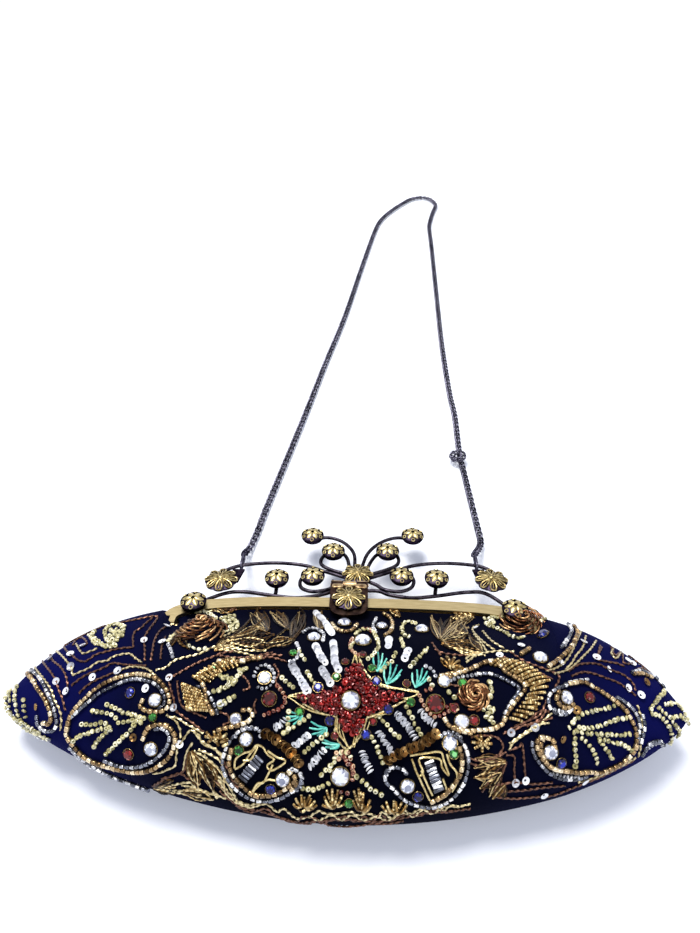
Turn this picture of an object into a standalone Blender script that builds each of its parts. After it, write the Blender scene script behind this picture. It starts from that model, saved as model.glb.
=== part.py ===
"""Beaded evening bag, lying on its back: a stuffed boat-shaped bag on a hinged metal frame,
with a flip-over clasp, a wire butterfly set with flower caps, and a chain strap laid out behind it.
+X runs along the frame, +Y away from the bag's bottom edge, +Z up from the table."""

import math

import bmesh
import bpy
import numpy as np
from mathutils import Matrix, Vector

# Gap kept between pieces that touch, and the distance at which a curve's caps are welded
FIT = 0.0003
WELD = 0.00002

# Sides of round pieces
SMALL_SIDES, ROUND_SIDES, LARGE_SIDES, HUB_SIDES = 12, 16, 20, 28
SHARP_ANGLE = math.radians(40)

# Bag body, seen from above
HALF_LENGTH = 0.1425
TIP_Y = -0.032
BOTTOM_REACH = 0.043
SHOULDER_REACH = 0.047
BOTTOM_POWER, BOTTOM_ROUND = 1.8, 0.77
SHOULDER_POWER, SHOULDER_ROUND = 3.7, 0.74
END_SHARE = 0.997

# Bag body, in section
EQUATOR_Z = 0.014
TIP_Z = 0.017
SEAM_RISE = 0.008
CROWN = 0.027
BELLY = 0.024
SWELL_POWER, CROWN_ROUND, BELLY_ROUND = 3.8, 0.9, 0.62
SWELL_END_SHARE = 1.006
FRONT_POWER, MOUTH_POWER, FRONT_LEAN, BACK_POWER = 0.55, 0.8, 0.8, 0.5
SEAM_SHARE, HEM_SHARE = 0.04, 0.2
SEAM_GAP = 0.0008
NOTCH_SHARE = 0.8
STEP_SHARE = 0.002
MOUTH_STEPS, END_STEPS, ROWS, ROW_POWER = 6, 8, 7, 1.3

# Cloth layers, from the outside in
CLOTH = 0.0010
WADDING = 0.0020
LINING = 0.0006
LAYER_GAP = 0.0006
WADDING_TOP_SHARE = 0.75
LINING_TOP_SHARE = 0.85
LAYER_END_SHARE = 0.80

# Frame: two channel bars that close face to face on a tilted plane
FRAME_Y, FRAME_Z = 0.0165, 0.0226
FRAME_TILT = math.radians(14)
ARCH_HALF = 0.084
ARCH_RISE = 0.018
ARCH_POWER = 3.2
ARCH_POINTS = 24
BAR_HEIGHT = 0.006
BAR_THICK = 0.0036
CHANNEL_LIP = 0.0009
CHANNEL_CORD_R = 0.0006

# Frame hinges, at the feet of the arch
EAR_R = 0.0032
EAR_THICK = 0.0026
ARM_LIFT = 0.0040
RIVET_R = 0.0011
RIVET_HOLE_R = 0.0014
RIVET_HEAD_R = 0.0021
RIVET_HEAD = 0.0009

# Clasp: a base on the rear bar, a flap that folds over the front bar
CLASP_X = -0.0022
BARREL_U, BARREL_W = 0.0085, 0.0040
BARREL_R = 0.0019
PIN_R = 0.0007
PIN_HOLE_R = 0.0010
CENTRE_KNUCKLE = 0.0060
POST_SHARE = 0.7
BASE_HALF = 0.0065
BASE_THICK = 0.0017
BASE_TOP = 0.0118
FLAP_WIDTH = 0.0172
FLAP_THICK = 0.0010
FLAP_CLEARANCE = 0.0016
FLAP_REACH = 0.0138
FLAP_SLOT = 0.0062
FLAP_CORNER = 0.0060
CORNER_STEPS = 6
CHEEK_THICK = 0.0011
CHEEK_DEPTH = 0.0038
STUD_R, STUD_HEIGHT, STUD_TOP_SHARE = 0.0015, 0.0007, 0.7

# Flower caps on their cups
SMALL_FLOWER_R, SMALL_CUP = 0.0058, 0.0024
LARGE_FLOWER_R, LARGE_CUP = 0.0077, 0.0018
CENTRE_FLOWER_R = 0.0074
CLASP_FLOWER_R = 0.0074
CLASP_FLOWER_U = -0.0041
FLOWER_DOME = 0.0020
FLOWER_EDGE = 0.0006
SMALL_PETAL_COUNT, LARGE_PETAL_COUNT = 6, 8
PETAL_POINT_COUNT, PETAL_NOTCH_SHARE, PETAL_ROW_COUNT = 2, 0.16, 6
CUP_RIM_SHARE, CUP_FOOT_SHARE = 0.78, 0.72
SHOULDER_CAP_INSET = 0.0125

# Wire butterfly: the boss it grows from, its size, and how it leans
WIRE_R = 0.0009
WIRE_W = -(FIT + BASE_THICK) / 2
WIRE_POINTS = 15
FINE_STEPS = 12
HUB_X, HUB_U, HUB_R = 0.0014, 0.0200, 0.0062
WING_HALF, WING_RISE = 0.070, 0.055
WING_TURN = math.radians(1.8)
WING_LEAN_SHARE = 0.10
BASE_WIRE_U = 0.0108
WIRE_FOOT_SHARE = 0.56

# Chain, with the tab and the ring at each of its ends
CHAIN_R = 0.0018
CHAIN_POINTS = 80
TAB_WIDE, TAB_NARROW, TAB_LENGTH, TAB_THICK = 0.0060, 0.0022, 0.0092, 0.0010
RING_WIRE_R, RING_LENGTH, RING_STEPS = 0.00065, 0.0105, 6

# Sewn work on the front panel
PAD_THICK, PAD_SEAT = 0.0010, 0.0009
STAR_REACH_X, STAR_REACH_Y, STAR_POWER = 0.0235, 0.0185, 0.75
LEAF_LONG, LEAF_WIDE, LEAF_LEAN = 0.0210, 0.0095, math.radians(-20)
PAISLEY_LONG, PAISLEY_WIDE, PAISLEY_LEAN = 0.0140, 0.0055, math.radians(-22)
LEAF_TAPER_SHARE = 0.35
PATCH_SEGMENT_COUNT, STAR_SEGMENT_COUNT, PATCH_RING_COUNT = 18, 24, 2
ROSE_R, LARGE_STONE_R, STONE_R = 0.0055, 0.0036, 0.0028
STONE_HEIGHT, STONE_TOP_SHARE = 0.0016, 0.6

COLOURS = {
    "beaded navy velvet": ((0.030, 0.034, 0.105), 0.85, 0.0),
    "navy satin": ((0.024, 0.028, 0.110), 0.45, 0.0),
    "navy lining satin": ((0.020, 0.024, 0.080), 0.50, 0.0),
    "white wadding": ((0.80, 0.80, 0.78), 0.95, 0.0),
    "paper cord": ((0.62, 0.55, 0.42), 0.90, 0.0),
    "brushed pale brass": ((0.60, 0.52, 0.33), 0.38, 1.0),
    "antique brass wire": ((0.10, 0.085, 0.085), 0.35, 1.0),
    "antique brass cap": ((0.62, 0.50, 0.27), 0.35, 1.0),
    "dark brass cup": ((0.075, 0.06, 0.07), 0.40, 1.0),
    "antique brass chain": ((0.16, 0.13, 0.12), 0.35, 1.0),
    "red seed beads": ((0.25, 0.01, 0.012), 0.15, 0.0),
    "cream seed beads": ((0.62, 0.58, 0.36), 0.25, 0.0),
    "gold purl": ((0.45, 0.28, 0.13), 0.35, 1.0),
    "clear stones": ((0.85, 0.87, 0.92), 0.05, 0.0),
    "red stones": ((0.35, 0.01, 0.03), 0.05, 0.0),
}


def clear_scene():
    for thing in list(bpy.data.objects):
        bpy.data.objects.remove(thing, do_unlink=True)


def collection(name):
    made = bpy.data.collections.new(name)
    bpy.context.scene.collection.children.link(made)
    return made


def material(name):
    """A Principled material of the table above, made once."""
    if name in bpy.data.materials:
        return bpy.data.materials[name]
    colour, rough, metal = COLOURS[name]
    made = bpy.data.materials.new(name)
    made.use_nodes = True
    shader = made.node_tree.nodes["Principled BSDF"]
    shader.inputs["Base Color"].default_value = (*colour, 1)
    shader.inputs["Roughness"].default_value = rough
    shader.inputs["Metallic"].default_value = metal
    return made


def put(name, data, finish, parent, home=None):
    """An object of this data in the bag's collection, hung on its parent."""
    thing = bpy.data.objects.new(name, data)
    (home or PARTS).objects.link(thing)
    if finish:
        data.materials.append(material(finish))
    if home is CUTTERS:
        thing.hide_render = True
        thing.display_type = "WIRE"
    thing.parent = parent
    return thing


def empty(name, parent, place, tilt=0.0):
    made = bpy.data.objects.new(name, None)
    PARTS.objects.link(made)
    made.parent = parent
    made.location = place
    made.rotation_euler = (tilt, 0, 0)
    return made


def from_bmesh(name, bm, finish, parent, smooth=True, home=None):
    mesh = bpy.data.meshes.new(name)
    bmesh.ops.recalc_face_normals(bm, faces=bm.faces)
    bm.to_mesh(mesh)
    bm.free()
    if smooth:
        mesh.shade_smooth()
        mesh.set_sharp_from_angle(angle=SHARP_ANGLE)
    return put(name, mesh, finish, parent, home)


def add_box(bm, low, high):
    """A box between two corners."""
    low, high = Vector(low), Vector(high)
    size = high - low
    place = Matrix.Translation((low + high) / 2) @ Matrix.Diagonal((*size, 1))
    bmesh.ops.create_cube(bm, size=1, matrix=place)


def add_rod(bm, start, end, r, sides=ROUND_SIDES, end_r=None):
    """A cylinder, or a cone with end_r, between two points."""
    start, end = Vector(start), Vector(end)
    run = end - start
    turn = run.to_track_quat("Z", "Y").to_matrix().to_4x4()
    place = Matrix.Translation((start + end) / 2) @ turn
    top = r if end_r is None else end_r
    bmesh.ops.create_cone(
        bm, cap_ends=True, segments=sides, radius1=r, radius2=top, depth=run.length, matrix=place
    )


def baked(thing, weld=True):
    """The object with its modifiers applied, as a plain mesh; a curve's caps are welded."""
    bpy.context.view_layer.update()
    graph = bpy.context.evaluated_depsgraph_get()
    mesh = bpy.data.meshes.new_from_object(thing.evaluated_get(graph))
    if weld:
        bm = bmesh.new()
        bm.from_mesh(mesh)
        bmesh.ops.remove_doubles(bm, verts=bm.verts, dist=WELD)
        bmesh.ops.recalc_face_normals(bm, faces=bm.faces)
        bm.to_mesh(mesh)
        bm.free()
    name, parent = thing.name, thing.parent
    place = thing.matrix_basis.copy()
    homes = list(thing.users_collection)
    bpy.data.objects.remove(thing, do_unlink=True)
    made = bpy.data.objects.new(name, mesh)
    for home in homes:
        home.objects.link(made)
    made.parent = parent
    made.matrix_basis = place
    return made


def combine(thing, other, operation):
    """Joins the other piece to this one, or cuts it away, with an exact Boolean; the other is used up."""
    other.parent = thing.parent
    step = thing.modifiers.new(operation.lower(), "BOOLEAN")
    step.object = other
    step.operation = operation
    step.solver = "EXACT"
    made = baked(thing, weld=False)
    bpy.data.objects.remove(other, do_unlink=True)
    return made


def smooth_route(points, count):
    """Evenly spaced points on a Catmull-Rom curve through the given ones."""
    given = [Vector(p) for p in points]
    given = [given[0] * 2 - given[1], *given, given[-1] * 2 - given[-2]]
    fine = []
    for a, b, c, d in zip(given, given[1:], given[2:], given[3:]):
        for step in range(FINE_STEPS):
            t = step / FINE_STEPS
            part = 2 * b + (c - a) * t + (2 * a - 5 * b + 4 * c - d) * t**2
            fine.append((part + (3 * b - a - 3 * c + d) * t**3) / 2)
    fine.append(given[-2])
    fine = np.array(fine)
    along = np.concatenate([[0], np.cumsum(np.linalg.norm(np.diff(fine, axis=0), axis=1))])
    even = np.linspace(0, along[-1], count)
    return [Vector(np.interp(at, along, fine[:, k]) for k in range(3)) for at in even]


def poly_curve(name, points, cyclic=False):
    curve = bpy.data.curves.new(name, "CURVE")
    curve.dimensions = "3D"
    spline = curve.splines.new("POLY")
    spline.points.add(len(points) - 1)
    for spot, point in zip(spline.points, points):
        spot.co = (*point, 1)
    spline.use_cyclic_u = cyclic
    return curve


def tube(name, points, r, finish, parent, cyclic=False, fineness=1):
    """A round wire along the points."""
    curve = poly_curve(name, points, cyclic)
    curve.bevel_depth = r
    curve.bevel_resolution = fineness
    curve.use_fill_caps = not cyclic
    return put(name, curve, finish, parent)


def plate(name, outline, thick, finish, parent, home=None):
    """A flat plate of this outline, centred on its own plane."""
    curve = bpy.data.curves.new(name, "CURVE")
    curve.dimensions = "2D"
    spline = curve.splines.new("POLY")
    spline.points.add(len(outline) - 1)
    for spot, (x, y) in zip(spline.points, outline):
        spot.co = (x, y, 0, 1)
    spline.use_cyclic_u = True
    curve.fill_mode = "BOTH"
    curve.extrude = thick / 2
    return put(name, curve, finish, parent, home)


# Arch of the frame
def arch_line(inset):
    """The bar's outline on its right half, moved inward by inset, from the middle to the foot."""
    turns = np.linspace(math.pi / 2, 0, ARCH_POINTS)
    x = ARCH_HALF * np.cos(turns) ** (2 / ARCH_POWER)
    u = ARCH_RISE * (np.sin(turns) ** (2 / ARCH_POWER) - 1)
    along = np.gradient(np.stack([x, u], axis=1), axis=0)
    along /= np.linalg.norm(along, axis=1, keepdims=True)
    inward = np.stack([along[:, 1], -along[:, 0]], axis=1)
    inward[0], inward[-1] = (0, -1), (-1, 0)
    return np.stack([x, u], axis=1) + inward * inset


def arch_height(x, inset):
    """How far out the inset arch line stands at this x."""
    line = arch_line(inset)
    return float(np.interp(abs(x), line[:, 0], line[:, 1]))


def plane_point(x, u, w):
    """A point of the frame's tilted plane, in the bag's own axes."""
    cos, sin = math.cos(FRAME_TILT), math.sin(FRAME_TILT)
    return (x, FRAME_Y + u * cos + w * sin, FRAME_Z - u * sin + w * cos)


# Shape of the stuffed bag
MOUTH_END = ARCH_HALF - BAR_HEIGHT - RIVET_HEAD - 3 * FIT
NOTCH_END = ARCH_HALF + RIVET_HEAD + 2 * FIT


def bottom_edge(x):
    share = min(abs(x) / HALF_LENGTH, 1)
    return TIP_Y - BOTTOM_REACH * (1 - share**BOTTOM_POWER) ** BOTTOM_ROUND


def shoulder_edge(x):
    share = min(abs(x) / HALF_LENGTH, 1)
    return TIP_Y + SHOULDER_REACH * (1 - share**SHOULDER_POWER) ** SHOULDER_ROUND


def swell(x, round_power):
    share = abs(x) / (HALF_LENGTH * SWELL_END_SHARE)
    return (1 - share**SWELL_POWER) ** round_power


def equator_height(x):
    return EQUATOR_Z + (TIP_Z - EQUATOR_Z) * (abs(x) / HALF_LENGTH) ** 3


def mouth_share(x):
    """1 where the cloth's upper edge lies under the frame, 0 where it is the shoulder seam."""
    return min(max((NOTCH_END - abs(x)) / (NOTCH_END - MOUTH_END), 0), 1)


def mouth_edge(x, side):
    """The cloth's upper edge at this x: below the bar, or at the shoulder seam."""
    part = mouth_share(x)
    u = arch_height(min(abs(x), MOUTH_END), BAR_HEIGHT + FIT)
    _, mouth_y, mouth_z = plane_point(x, u, side * (BAR_THICK + FIT) / 2)
    seam_z = equator_height(x) + SEAM_RISE * swell(x, 1) + side * SEAM_GAP / 2
    y = part * mouth_y + (1 - part) * shoulder_edge(x)
    return y, part * mouth_z + (1 - part) * seam_z


def section(x, q):
    """A point of the bag's skin: q from -1 at the rear upper edge, through 0 at the bottom, to 1 in front."""
    side = 1 if q >= 0 else -1
    t = min(abs(q), 1)
    top_y, top_z = mouth_edge(x, side)
    low_y, low_z = bottom_edge(x), equator_height(x)
    y = low_y + (top_y - low_y) * t
    z = low_z + (top_z - low_z) * t
    if t in (0, 1):
        return Vector((x, y, z))
    if side > 0:
        power = FRONT_POWER + mouth_share(x) * MOUTH_POWER * t * t
        z += CROWN * swell(x, CROWN_ROUND) * math.sin(math.pi * t**FRONT_LEAN) ** power
    else:
        z = max(z - BELLY * swell(x, BELLY_ROUND) * math.sin(math.pi * t) ** BACK_POWER, 0)
    return Vector((x, y, z))


def skin_normal(x, q):
    """The outward direction of the skin, by small steps to both sides."""
    step_x, step_q = HALF_LENGTH * STEP_SHARE, STEP_SHARE
    along = section(x + step_x, q) - section(x - step_x, q)
    across = section(x, q + step_q) - section(x, q - step_q)
    return along.cross(across).normalized()


def skin_point(x, q, inset):
    return section(x, q) - skin_normal(x, q) * inset if inset else section(x, q)


def stations(reach):
    """x of the cross sections: along the mouth, at both sides of the hinge, and along the pointed end."""
    mouth = [MOUTH_END * math.sin(math.pi / 2 * k / MOUTH_STEPS) for k in range(MOUTH_STEPS + 1)]
    run = HALF_LENGTH * END_SHARE - NOTCH_END
    ends = [NOTCH_END + run * math.sin(math.pi / 2 * k / END_STEPS) for k in range(END_STEPS + 1)]
    right = [x for x in mouth + ends if x <= reach + FIT]
    return [-x for x in reversed(right[1:])] + right


def skin(name, reach, rows, thick, finish, inset=0.0):
    """A cloth layer: an open grid over the sections, left out at the frame's feet and thickened inward."""
    xs = stations(reach)
    bm = bmesh.new()
    bmesh.ops.create_grid(bm, x_segments=len(xs) - 1, y_segments=len(rows) - 1, size=1)
    notches = []
    for face in bm.faces:
        spot_x = [abs(xs[round((vert.co.x + 1) / 2 * (len(xs) - 1))]) for vert in face.verts]
        spot_row = [rows[round((vert.co.y + 1) / 2 * (len(rows) - 1))] for vert in face.verts]
        at_foot = min(spot_x) > MOUTH_END - FIT and max(spot_x) < NOTCH_END + FIT
        if at_foot and all(not callable(row) and abs(row) > NOTCH_SHARE for row in spot_row):
            notches.append(face)
    for vert in bm.verts:
        x = xs[round((vert.co.x + 1) / 2 * (len(xs) - 1))]
        row = rows[round((vert.co.y + 1) / 2 * (len(rows) - 1))]
        vert.co = skin_point(x, row(x) if callable(row) else row, inset)
    bmesh.ops.delete(bm, geom=notches, context="FACES")
    mesh = bpy.data.meshes.new(name)
    bm.to_mesh(mesh)
    bm.free()
    mesh.shade_smooth()
    thing = put(name, mesh, finish, BAG)
    step = thing.modifiers.new("cloth", "SOLIDIFY")
    step.thickness = thick
    step.offset = -1
    return thing


def seam_row(side):
    """Where the front and back panels meet, less half of the gap between them."""

    def row(x):
        slope = (section(x, SEAM_SHARE * 2) - section(x, SEAM_SHARE / 2)).length / SEAM_SHARE
        return SEAM_SHARE + side * SEAM_GAP / 2 / slope

    return row


def cloth_layers():
    """Outer panels, wadding and lining, in front and behind."""
    rise = [(k / ROWS) ** ROW_POWER for k in range(1, ROWS)]
    front = [SEAM_SHARE + (1 - SEAM_SHARE) * share for share in rise]
    back = [-share for share in reversed(rise)]
    end = HALF_LENGTH * END_SHARE
    hem = SEAM_SHARE * HEM_SHARE
    front_rows = [seam_row(1), SEAM_SHARE + hem, *front, 1 - hem, 1]
    back_rows = [-1, hem - 1, *back, 0, SEAM_SHARE / 3, SEAM_SHARE - hem, seam_row(-1)]
    skin("front_panel", end, front_rows, CLOTH, "beaded navy velvet")
    skin("back_panel", end, back_rows, CLOTH, "navy satin")
    inner = HALF_LENGTH * LAYER_END_SHARE
    padded, lined = CLOTH + LAYER_GAP, CLOTH + WADDING + 2 * LAYER_GAP
    front_pad = [row for row in front if row <= WADDING_TOP_SHARE]
    back_pad = [row for row in back if -row <= LINING_TOP_SHARE] + [0]
    front_lining = [row for row in front if row <= LINING_TOP_SHARE]
    skin("front_wadding", inner, front_pad, WADDING, "white wadding", padded)
    skin("back_wadding", inner, back_pad, WADDING, "white wadding", padded)
    skin("front_lining", inner, front_lining, LINING, "navy lining satin", lined)
    skin("back_lining", inner, back_pad, LINING, "navy lining satin", lined)


def in_frame(thing, parent):
    """Hangs a piece modelled in the frame's axes on one of its moving empties."""
    thing.parent = parent
    if parent is FRONT_HALF:
        thing.location.y += ARCH_RISE
    return thing


def half_line(inset, stop):
    """The right half of the bar's outline at this inset, from the middle down to the height stop."""
    line = arch_line(inset)
    kept = [(float(x), float(u)) for x, u in line if u > stop + FIT]
    return kept + [(float(np.interp(stop, line[::-1, 1], line[::-1, 0])), stop)]


def both_sides(right):
    """The line from foot to foot, from its right half."""
    return [(-x, u) for x, u in reversed(right[1:])] + right


def frame_bar(name, side, outer_ear, parent):
    """Half of the frame: an arched channel open towards the cloth, with a hinge ear at each foot."""
    stop, axle = ARM_LIFT - ARCH_RISE, -ARCH_RISE
    inner = ARCH_HALF - BAR_HEIGHT
    outer_line = half_line(0, axle if outer_ear else stop)
    inner_line = half_line(BAR_HEIGHT, stop if outer_ear else axle)
    if outer_ear:
        ear_low = ARCH_HALF - EAR_THICK
        foot = [(ear_low, axle), (ear_low, stop)]
    else:
        ear_low = inner
        foot = [(inner + EAR_THICK, stop), (inner + EAR_THICK, axle)]
    left_foot = [(-x, u) for x, u in reversed(foot)]
    inside = [(x, u) for x, u in reversed(both_sides(inner_line))]
    outline = both_sides(outer_line) + foot + inside + left_foot
    bar = plate(name, outline, BAR_THICK, "brushed pale brass", FRAME)
    bar.location = (0, 0, side * (BAR_THICK + FIT) / 2)
    bar = baked(bar)
    channel_end = stop + BAR_HEIGHT / 2
    roof = both_sides(half_line(CHANNEL_LIP, channel_end))
    mouth = [(x, u) for x, u in reversed(both_sides(half_line(BAR_HEIGHT + FIT, channel_end)))]
    groove = plate(f"{name}_groove", roof + mouth, BAR_THICK - 2 * CHANNEL_LIP, None, FRAME, CUTTERS)
    groove.location = bar.location
    bar = combine(bar, baked(groove), "DIFFERENCE")
    ears, holes = bmesh.new(), bmesh.new()
    for hand in (-1, 1):
        low, high = sorted((hand * ear_low, hand * (ear_low + EAR_THICK)))
        add_rod(ears, (low, axle, 0), (high, axle, 0), EAR_R, sides=LARGE_SIDES)
        add_rod(holes, (low - EAR_THICK, axle, 0), (high + EAR_THICK, axle, 0), RIVET_HOLE_R)
    for bm, operation in ((ears, "UNION"), (holes, "DIFFERENCE")):
        tool = from_bmesh(f"{name}_tool", bm, None, FRAME, smooth=False, home=CUTTERS)
        bar = combine(bar, tool, operation)
    return in_frame(bar, parent)


def channel_cord(name, side, parent):
    """Paper cord pressed into a bar's channel."""
    stop = ARM_LIFT + BAR_HEIGHT / 2 + 2 * CHANNEL_CORD_R - ARCH_RISE
    path = [(x, u, 0) for x, u in both_sides(half_line(BAR_HEIGHT / 2 + CHANNEL_LIP, stop))]
    thing = tube(name, path, CHANNEL_CORD_R, "paper cord", FRAME, fineness=0)
    thing.location = (0, 0, side * (BAR_THICK + FIT) / 2)
    return in_frame(thing, parent)


def hinge_rivets():
    """A rivet through both ears at each foot, with a head at each end."""
    for hand, name in ((-1, "left"), (1, "right")):
        shaft, heads = bmesh.new(), bmesh.new()
        inner, outer = hand * (ARCH_HALF - BAR_HEIGHT - FIT), hand * (ARCH_HALF + FIT)
        head = hand * RIVET_HEAD
        add_rod(shaft, (inner - head / 2, -ARCH_RISE, 0), (outer + head / 2, -ARCH_RISE, 0), RIVET_R)
        add_rod(heads, (inner - head, -ARCH_RISE, 0), (inner, -ARCH_RISE, 0), RIVET_HEAD_R)
        add_rod(heads, (outer, -ARCH_RISE, 0), (outer + head, -ARCH_RISE, 0), RIVET_HEAD_R)
        rivet = from_bmesh(f"{name}_hinge_rivet", shaft, "brushed pale brass", FRAME)
        combine(rivet, from_bmesh("rivet_tool", heads, None, FRAME, home=CUTTERS), "UNION")


# Flower caps
def flower(name, place, r, petals, parent, cup=0.0):
    """A domed flower with rounded petals and a flat back, on a flared cup of this height."""
    bm = bmesh.new()
    bmesh.ops.create_uvsphere(bm, u_segments=petals * PETAL_POINT_COUNT, v_segments=PETAL_ROW_COUNT, radius=1)
    bmesh.ops.delete(bm, geom=[v for v in bm.verts if v.co.z < -WELD], context="VERTS")
    for vert in bm.verts:
        out = math.hypot(vert.co.x, vert.co.y)
        turn = math.atan2(vert.co.y, vert.co.x)
        waist = 1 - PETAL_NOTCH_SHARE * out * (1 - abs(math.cos(turn * petals / 2)))
        z = cup + FLOWER_EDGE + FLOWER_DOME * vert.co.z
        vert.co = Vector((vert.co.x * r * waist, vert.co.y * r * waist, z))
    rim = [edge for edge in bm.edges if edge.is_boundary]
    made = bmesh.ops.extrude_edge_only(bm, edges=rim)["geom"]
    for vert in (v for v in made if isinstance(v, bmesh.types.BMVert)):
        vert.co.z = cup
    bmesh.ops.holes_fill(bm, edges=[edge for edge in bm.edges if edge.is_boundary])
    thing = from_bmesh(name, bm, "antique brass cap", parent)
    thing.location = place
    if cup:
        bm = bmesh.new()
        rim = r * CUP_RIM_SHARE
        top = (0, 0, cup + FLOWER_EDGE / 2)
        add_rod(bm, (0, 0, 0), top, rim * CUP_FOOT_SHARE, sides=SMALL_SIDES, end_r=rim)
        stem = from_bmesh("cup_tool", bm, None, parent, home=CUTTERS)
        stem.location = place
        thing = combine(thing, stem, "UNION")
    return thing


# Wire butterfly
def spot(side, across, out):
    """A place of the butterfly: shares of its half width and its rise, on one side."""
    x, u = side * across * WING_HALF, out * WING_RISE - HUB_U
    cos, sin = math.cos(WING_TURN), math.sin(WING_TURN)
    x += WING_LEAN_SHARE * u
    return (HUB_X + x * cos - u * sin, HUB_U + x * sin + u * cos, WIRE_W)


def hub_spot(side, degrees):
    """A place at the rim of the boss, where a wire starts."""
    turn = math.radians(degrees)
    reach = HUB_R + FIT
    return (HUB_X + side * reach * math.cos(turn), HUB_U + reach * math.sin(turn), WIRE_W)


CAP_SHARES = {
    "antenna": (0.369, 0.896),
    "upper_curl": (0.194, 0.660),
    "lower_curl": (0.303, 0.313),
    "stem": (0.543, 0.284),
    "end": (0.914, 0.251),
}
# Each wire: the angle at which it leaves the boss, its places, and the angle at which it comes back
WIRE_SHARES = {
    "antenna": (75, [(0.047, 0.69), (0.111, 0.835), (0.194, 0.92), (0.284, 0.945), "antenna"], None),
    "upper_curl": (
        50,
        [(0.089, 0.618), (0.129, 0.7), (0.186, 0.727), (0.25, 0.691), (0.277, 0.609)]
        + [(0.261, 0.532), (0.186, 0.465)],
        22,
    ),
    "lower_curl": (
        -28,
        [(0.136, 0.264), (0.193, 0.205), (0.293, 0.18), (0.371, 0.229), (0.389, 0.325)]
        + [(0.354, 0.39), "lower_curl"],
        None,
    ),
    "upper_wing": (
        -2,
        [(0.249, 0.455), (0.399, 0.535), (0.596, 0.565), (0.802, 0.539), (0.918, 0.471)]
        + [(0.965, 0.36), "end"],
        None,
    ),
}
LOWER_WING_SHARES = [(0.157, 0.185), (0.229, 0.138), (0.373, 0.1), (0.534, 0.123)]
LOWER_WING_SHARES += [(0.756, 0.175), (0.887, 0.147)]
STEM_FOOT_SHARES = (0.534, 0.14)
TAB_SHARES = (0.84, 0.47)
RING_SHARES = (0.83, 0.527)


def wire(name, points):
    return tube(name, smooth_route(points, WIRE_POINTS), WIRE_R, "antique brass wire", FRAME)


def butterfly():
    """Bent wires round a boss, and the flower caps on them."""
    bm = bmesh.new()
    add_rod(bm, (HUB_X, HUB_U, WIRE_W - WIRE_R), (HUB_X, HUB_U, WIRE_W + WIRE_R), HUB_R, sides=HUB_SIDES)
    from_bmesh("centre_boss", bm, "dark brass cup", FRAME)
    seat = WIRE_W + WIRE_R + FIT
    flower("centre_flower", (HUB_X, HUB_U, seat), CENTRE_FLOWER_R, LARGE_PETAL_COUNT, FRAME)
    at_foot = round(WIRE_FOOT_SHARE * ARCH_POINTS)
    foot = arch_line(-FIT)[at_foot], arch_line(-FIT - 3 * WIRE_R)[at_foot]
    for side, hand in ((-1, "left"), (1, "right")):
        caps = {kind: spot(side, *shares) for kind, shares in CAP_SHARES.items()}
        for kind, (start, shares, stop) in WIRE_SHARES.items():
            route = [hub_spot(side, start)]
            route += [caps[at] if isinstance(at, str) else spot(side, *at) for at in shares]
            if stop is not None:
                route.append(hub_spot(side, stop))
            wire(f"{hand}_{kind}", route)
        low = [(CLASP_X + side * (BASE_HALF + 2 * FIT), BASE_WIRE_U, WIRE_W)]
        low += [spot(side, *at) for at in LOWER_WING_SHARES]
        low += [(side * x, u, WIRE_W) for x, u in reversed(foot)]
        wing = baked(wire(f"{hand}_lower_wing", low))
        stem = [spot(side, *STEM_FOOT_SHARES), caps["stem"]]
        stem.insert(0, (stem[0][0], stem[0][1] - 2 * WIRE_R, WIRE_W))
        combine(wing, baked(wire(f"{hand}_stem", stem)), "UNION")
        for kind, (x, u, _) in caps.items():
            kinds = {"end": (LARGE_FLOWER_R, LARGE_PETAL_COUNT, LARGE_CUP)}
            r, petals, deep = kinds.get(kind, (SMALL_FLOWER_R, SMALL_PETAL_COUNT, SMALL_CUP))
            flower(f"{hand}_{kind}_flower", (x, u, seat), r, petals, FRAME, deep)


def shoulder_caps():
    """A flower cap on each shoulder of the front bar."""
    seat = FIT / 2 + BAR_THICK + FIT
    out = ARCH_HALF - SHOULDER_CAP_INSET
    for side, hand in ((-1, "left"), (1, "right")):
        place = (side * out, arch_height(out, BAR_HEIGHT / 2), seat)
        cap = flower(f"{hand}_shoulder_flower", place, SMALL_FLOWER_R, SMALL_PETAL_COUNT, FRAME, SMALL_CUP)
        in_frame(cap, FRONT_HALF)


# Clasp
def clasp_base():
    """A plate on the rear bar with the centre knuckle of the clasp's hinge."""
    plate_box, post, neck, knuckle, hole = (bmesh.new() for _ in range(5))
    top = -FIT / 2
    low, high = CLASP_X - BASE_HALF, CLASP_X + BASE_HALF
    add_box(plate_box, (low, FIT, top - BASE_THICK), (high, BASE_TOP, top))
    left, right = CLASP_X - CENTRE_KNUCKLE / 2, CLASP_X + CENTRE_KNUCKLE / 2
    deep = BARREL_R * POST_SHARE
    near, far = BARREL_U - deep, BARREL_U + deep
    add_box(post, (left + FIT / 3, near, top - BASE_THICK / 2), (right - FIT / 3, far, BARREL_W))
    neck_low, neck_high = top - BASE_THICK + FIT / 3, top - FIT / 3
    add_box(neck, (left, BASE_TOP - BASE_THICK, neck_low), (right, HUB_U - HUB_R - FIT, neck_high))
    add_rod(knuckle, (left, BARREL_U, BARREL_W), (right, BARREL_U, BARREL_W), BARREL_R, sides=LARGE_SIDES)
    add_rod(hole, (low, BARREL_U, BARREL_W), (high, BARREL_U, BARREL_W), PIN_HOLE_R)
    base = from_bmesh("clasp_base", plate_box, "brushed pale brass", FRAME, smooth=False)
    for bm, operation in ((neck, "UNION"), (post, "UNION"), (knuckle, "UNION"), (hole, "DIFFERENCE")):
        base = combine(base, from_bmesh("base_tool", bm, None, FRAME, smooth=False, home=CUTTERS), operation)


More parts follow.
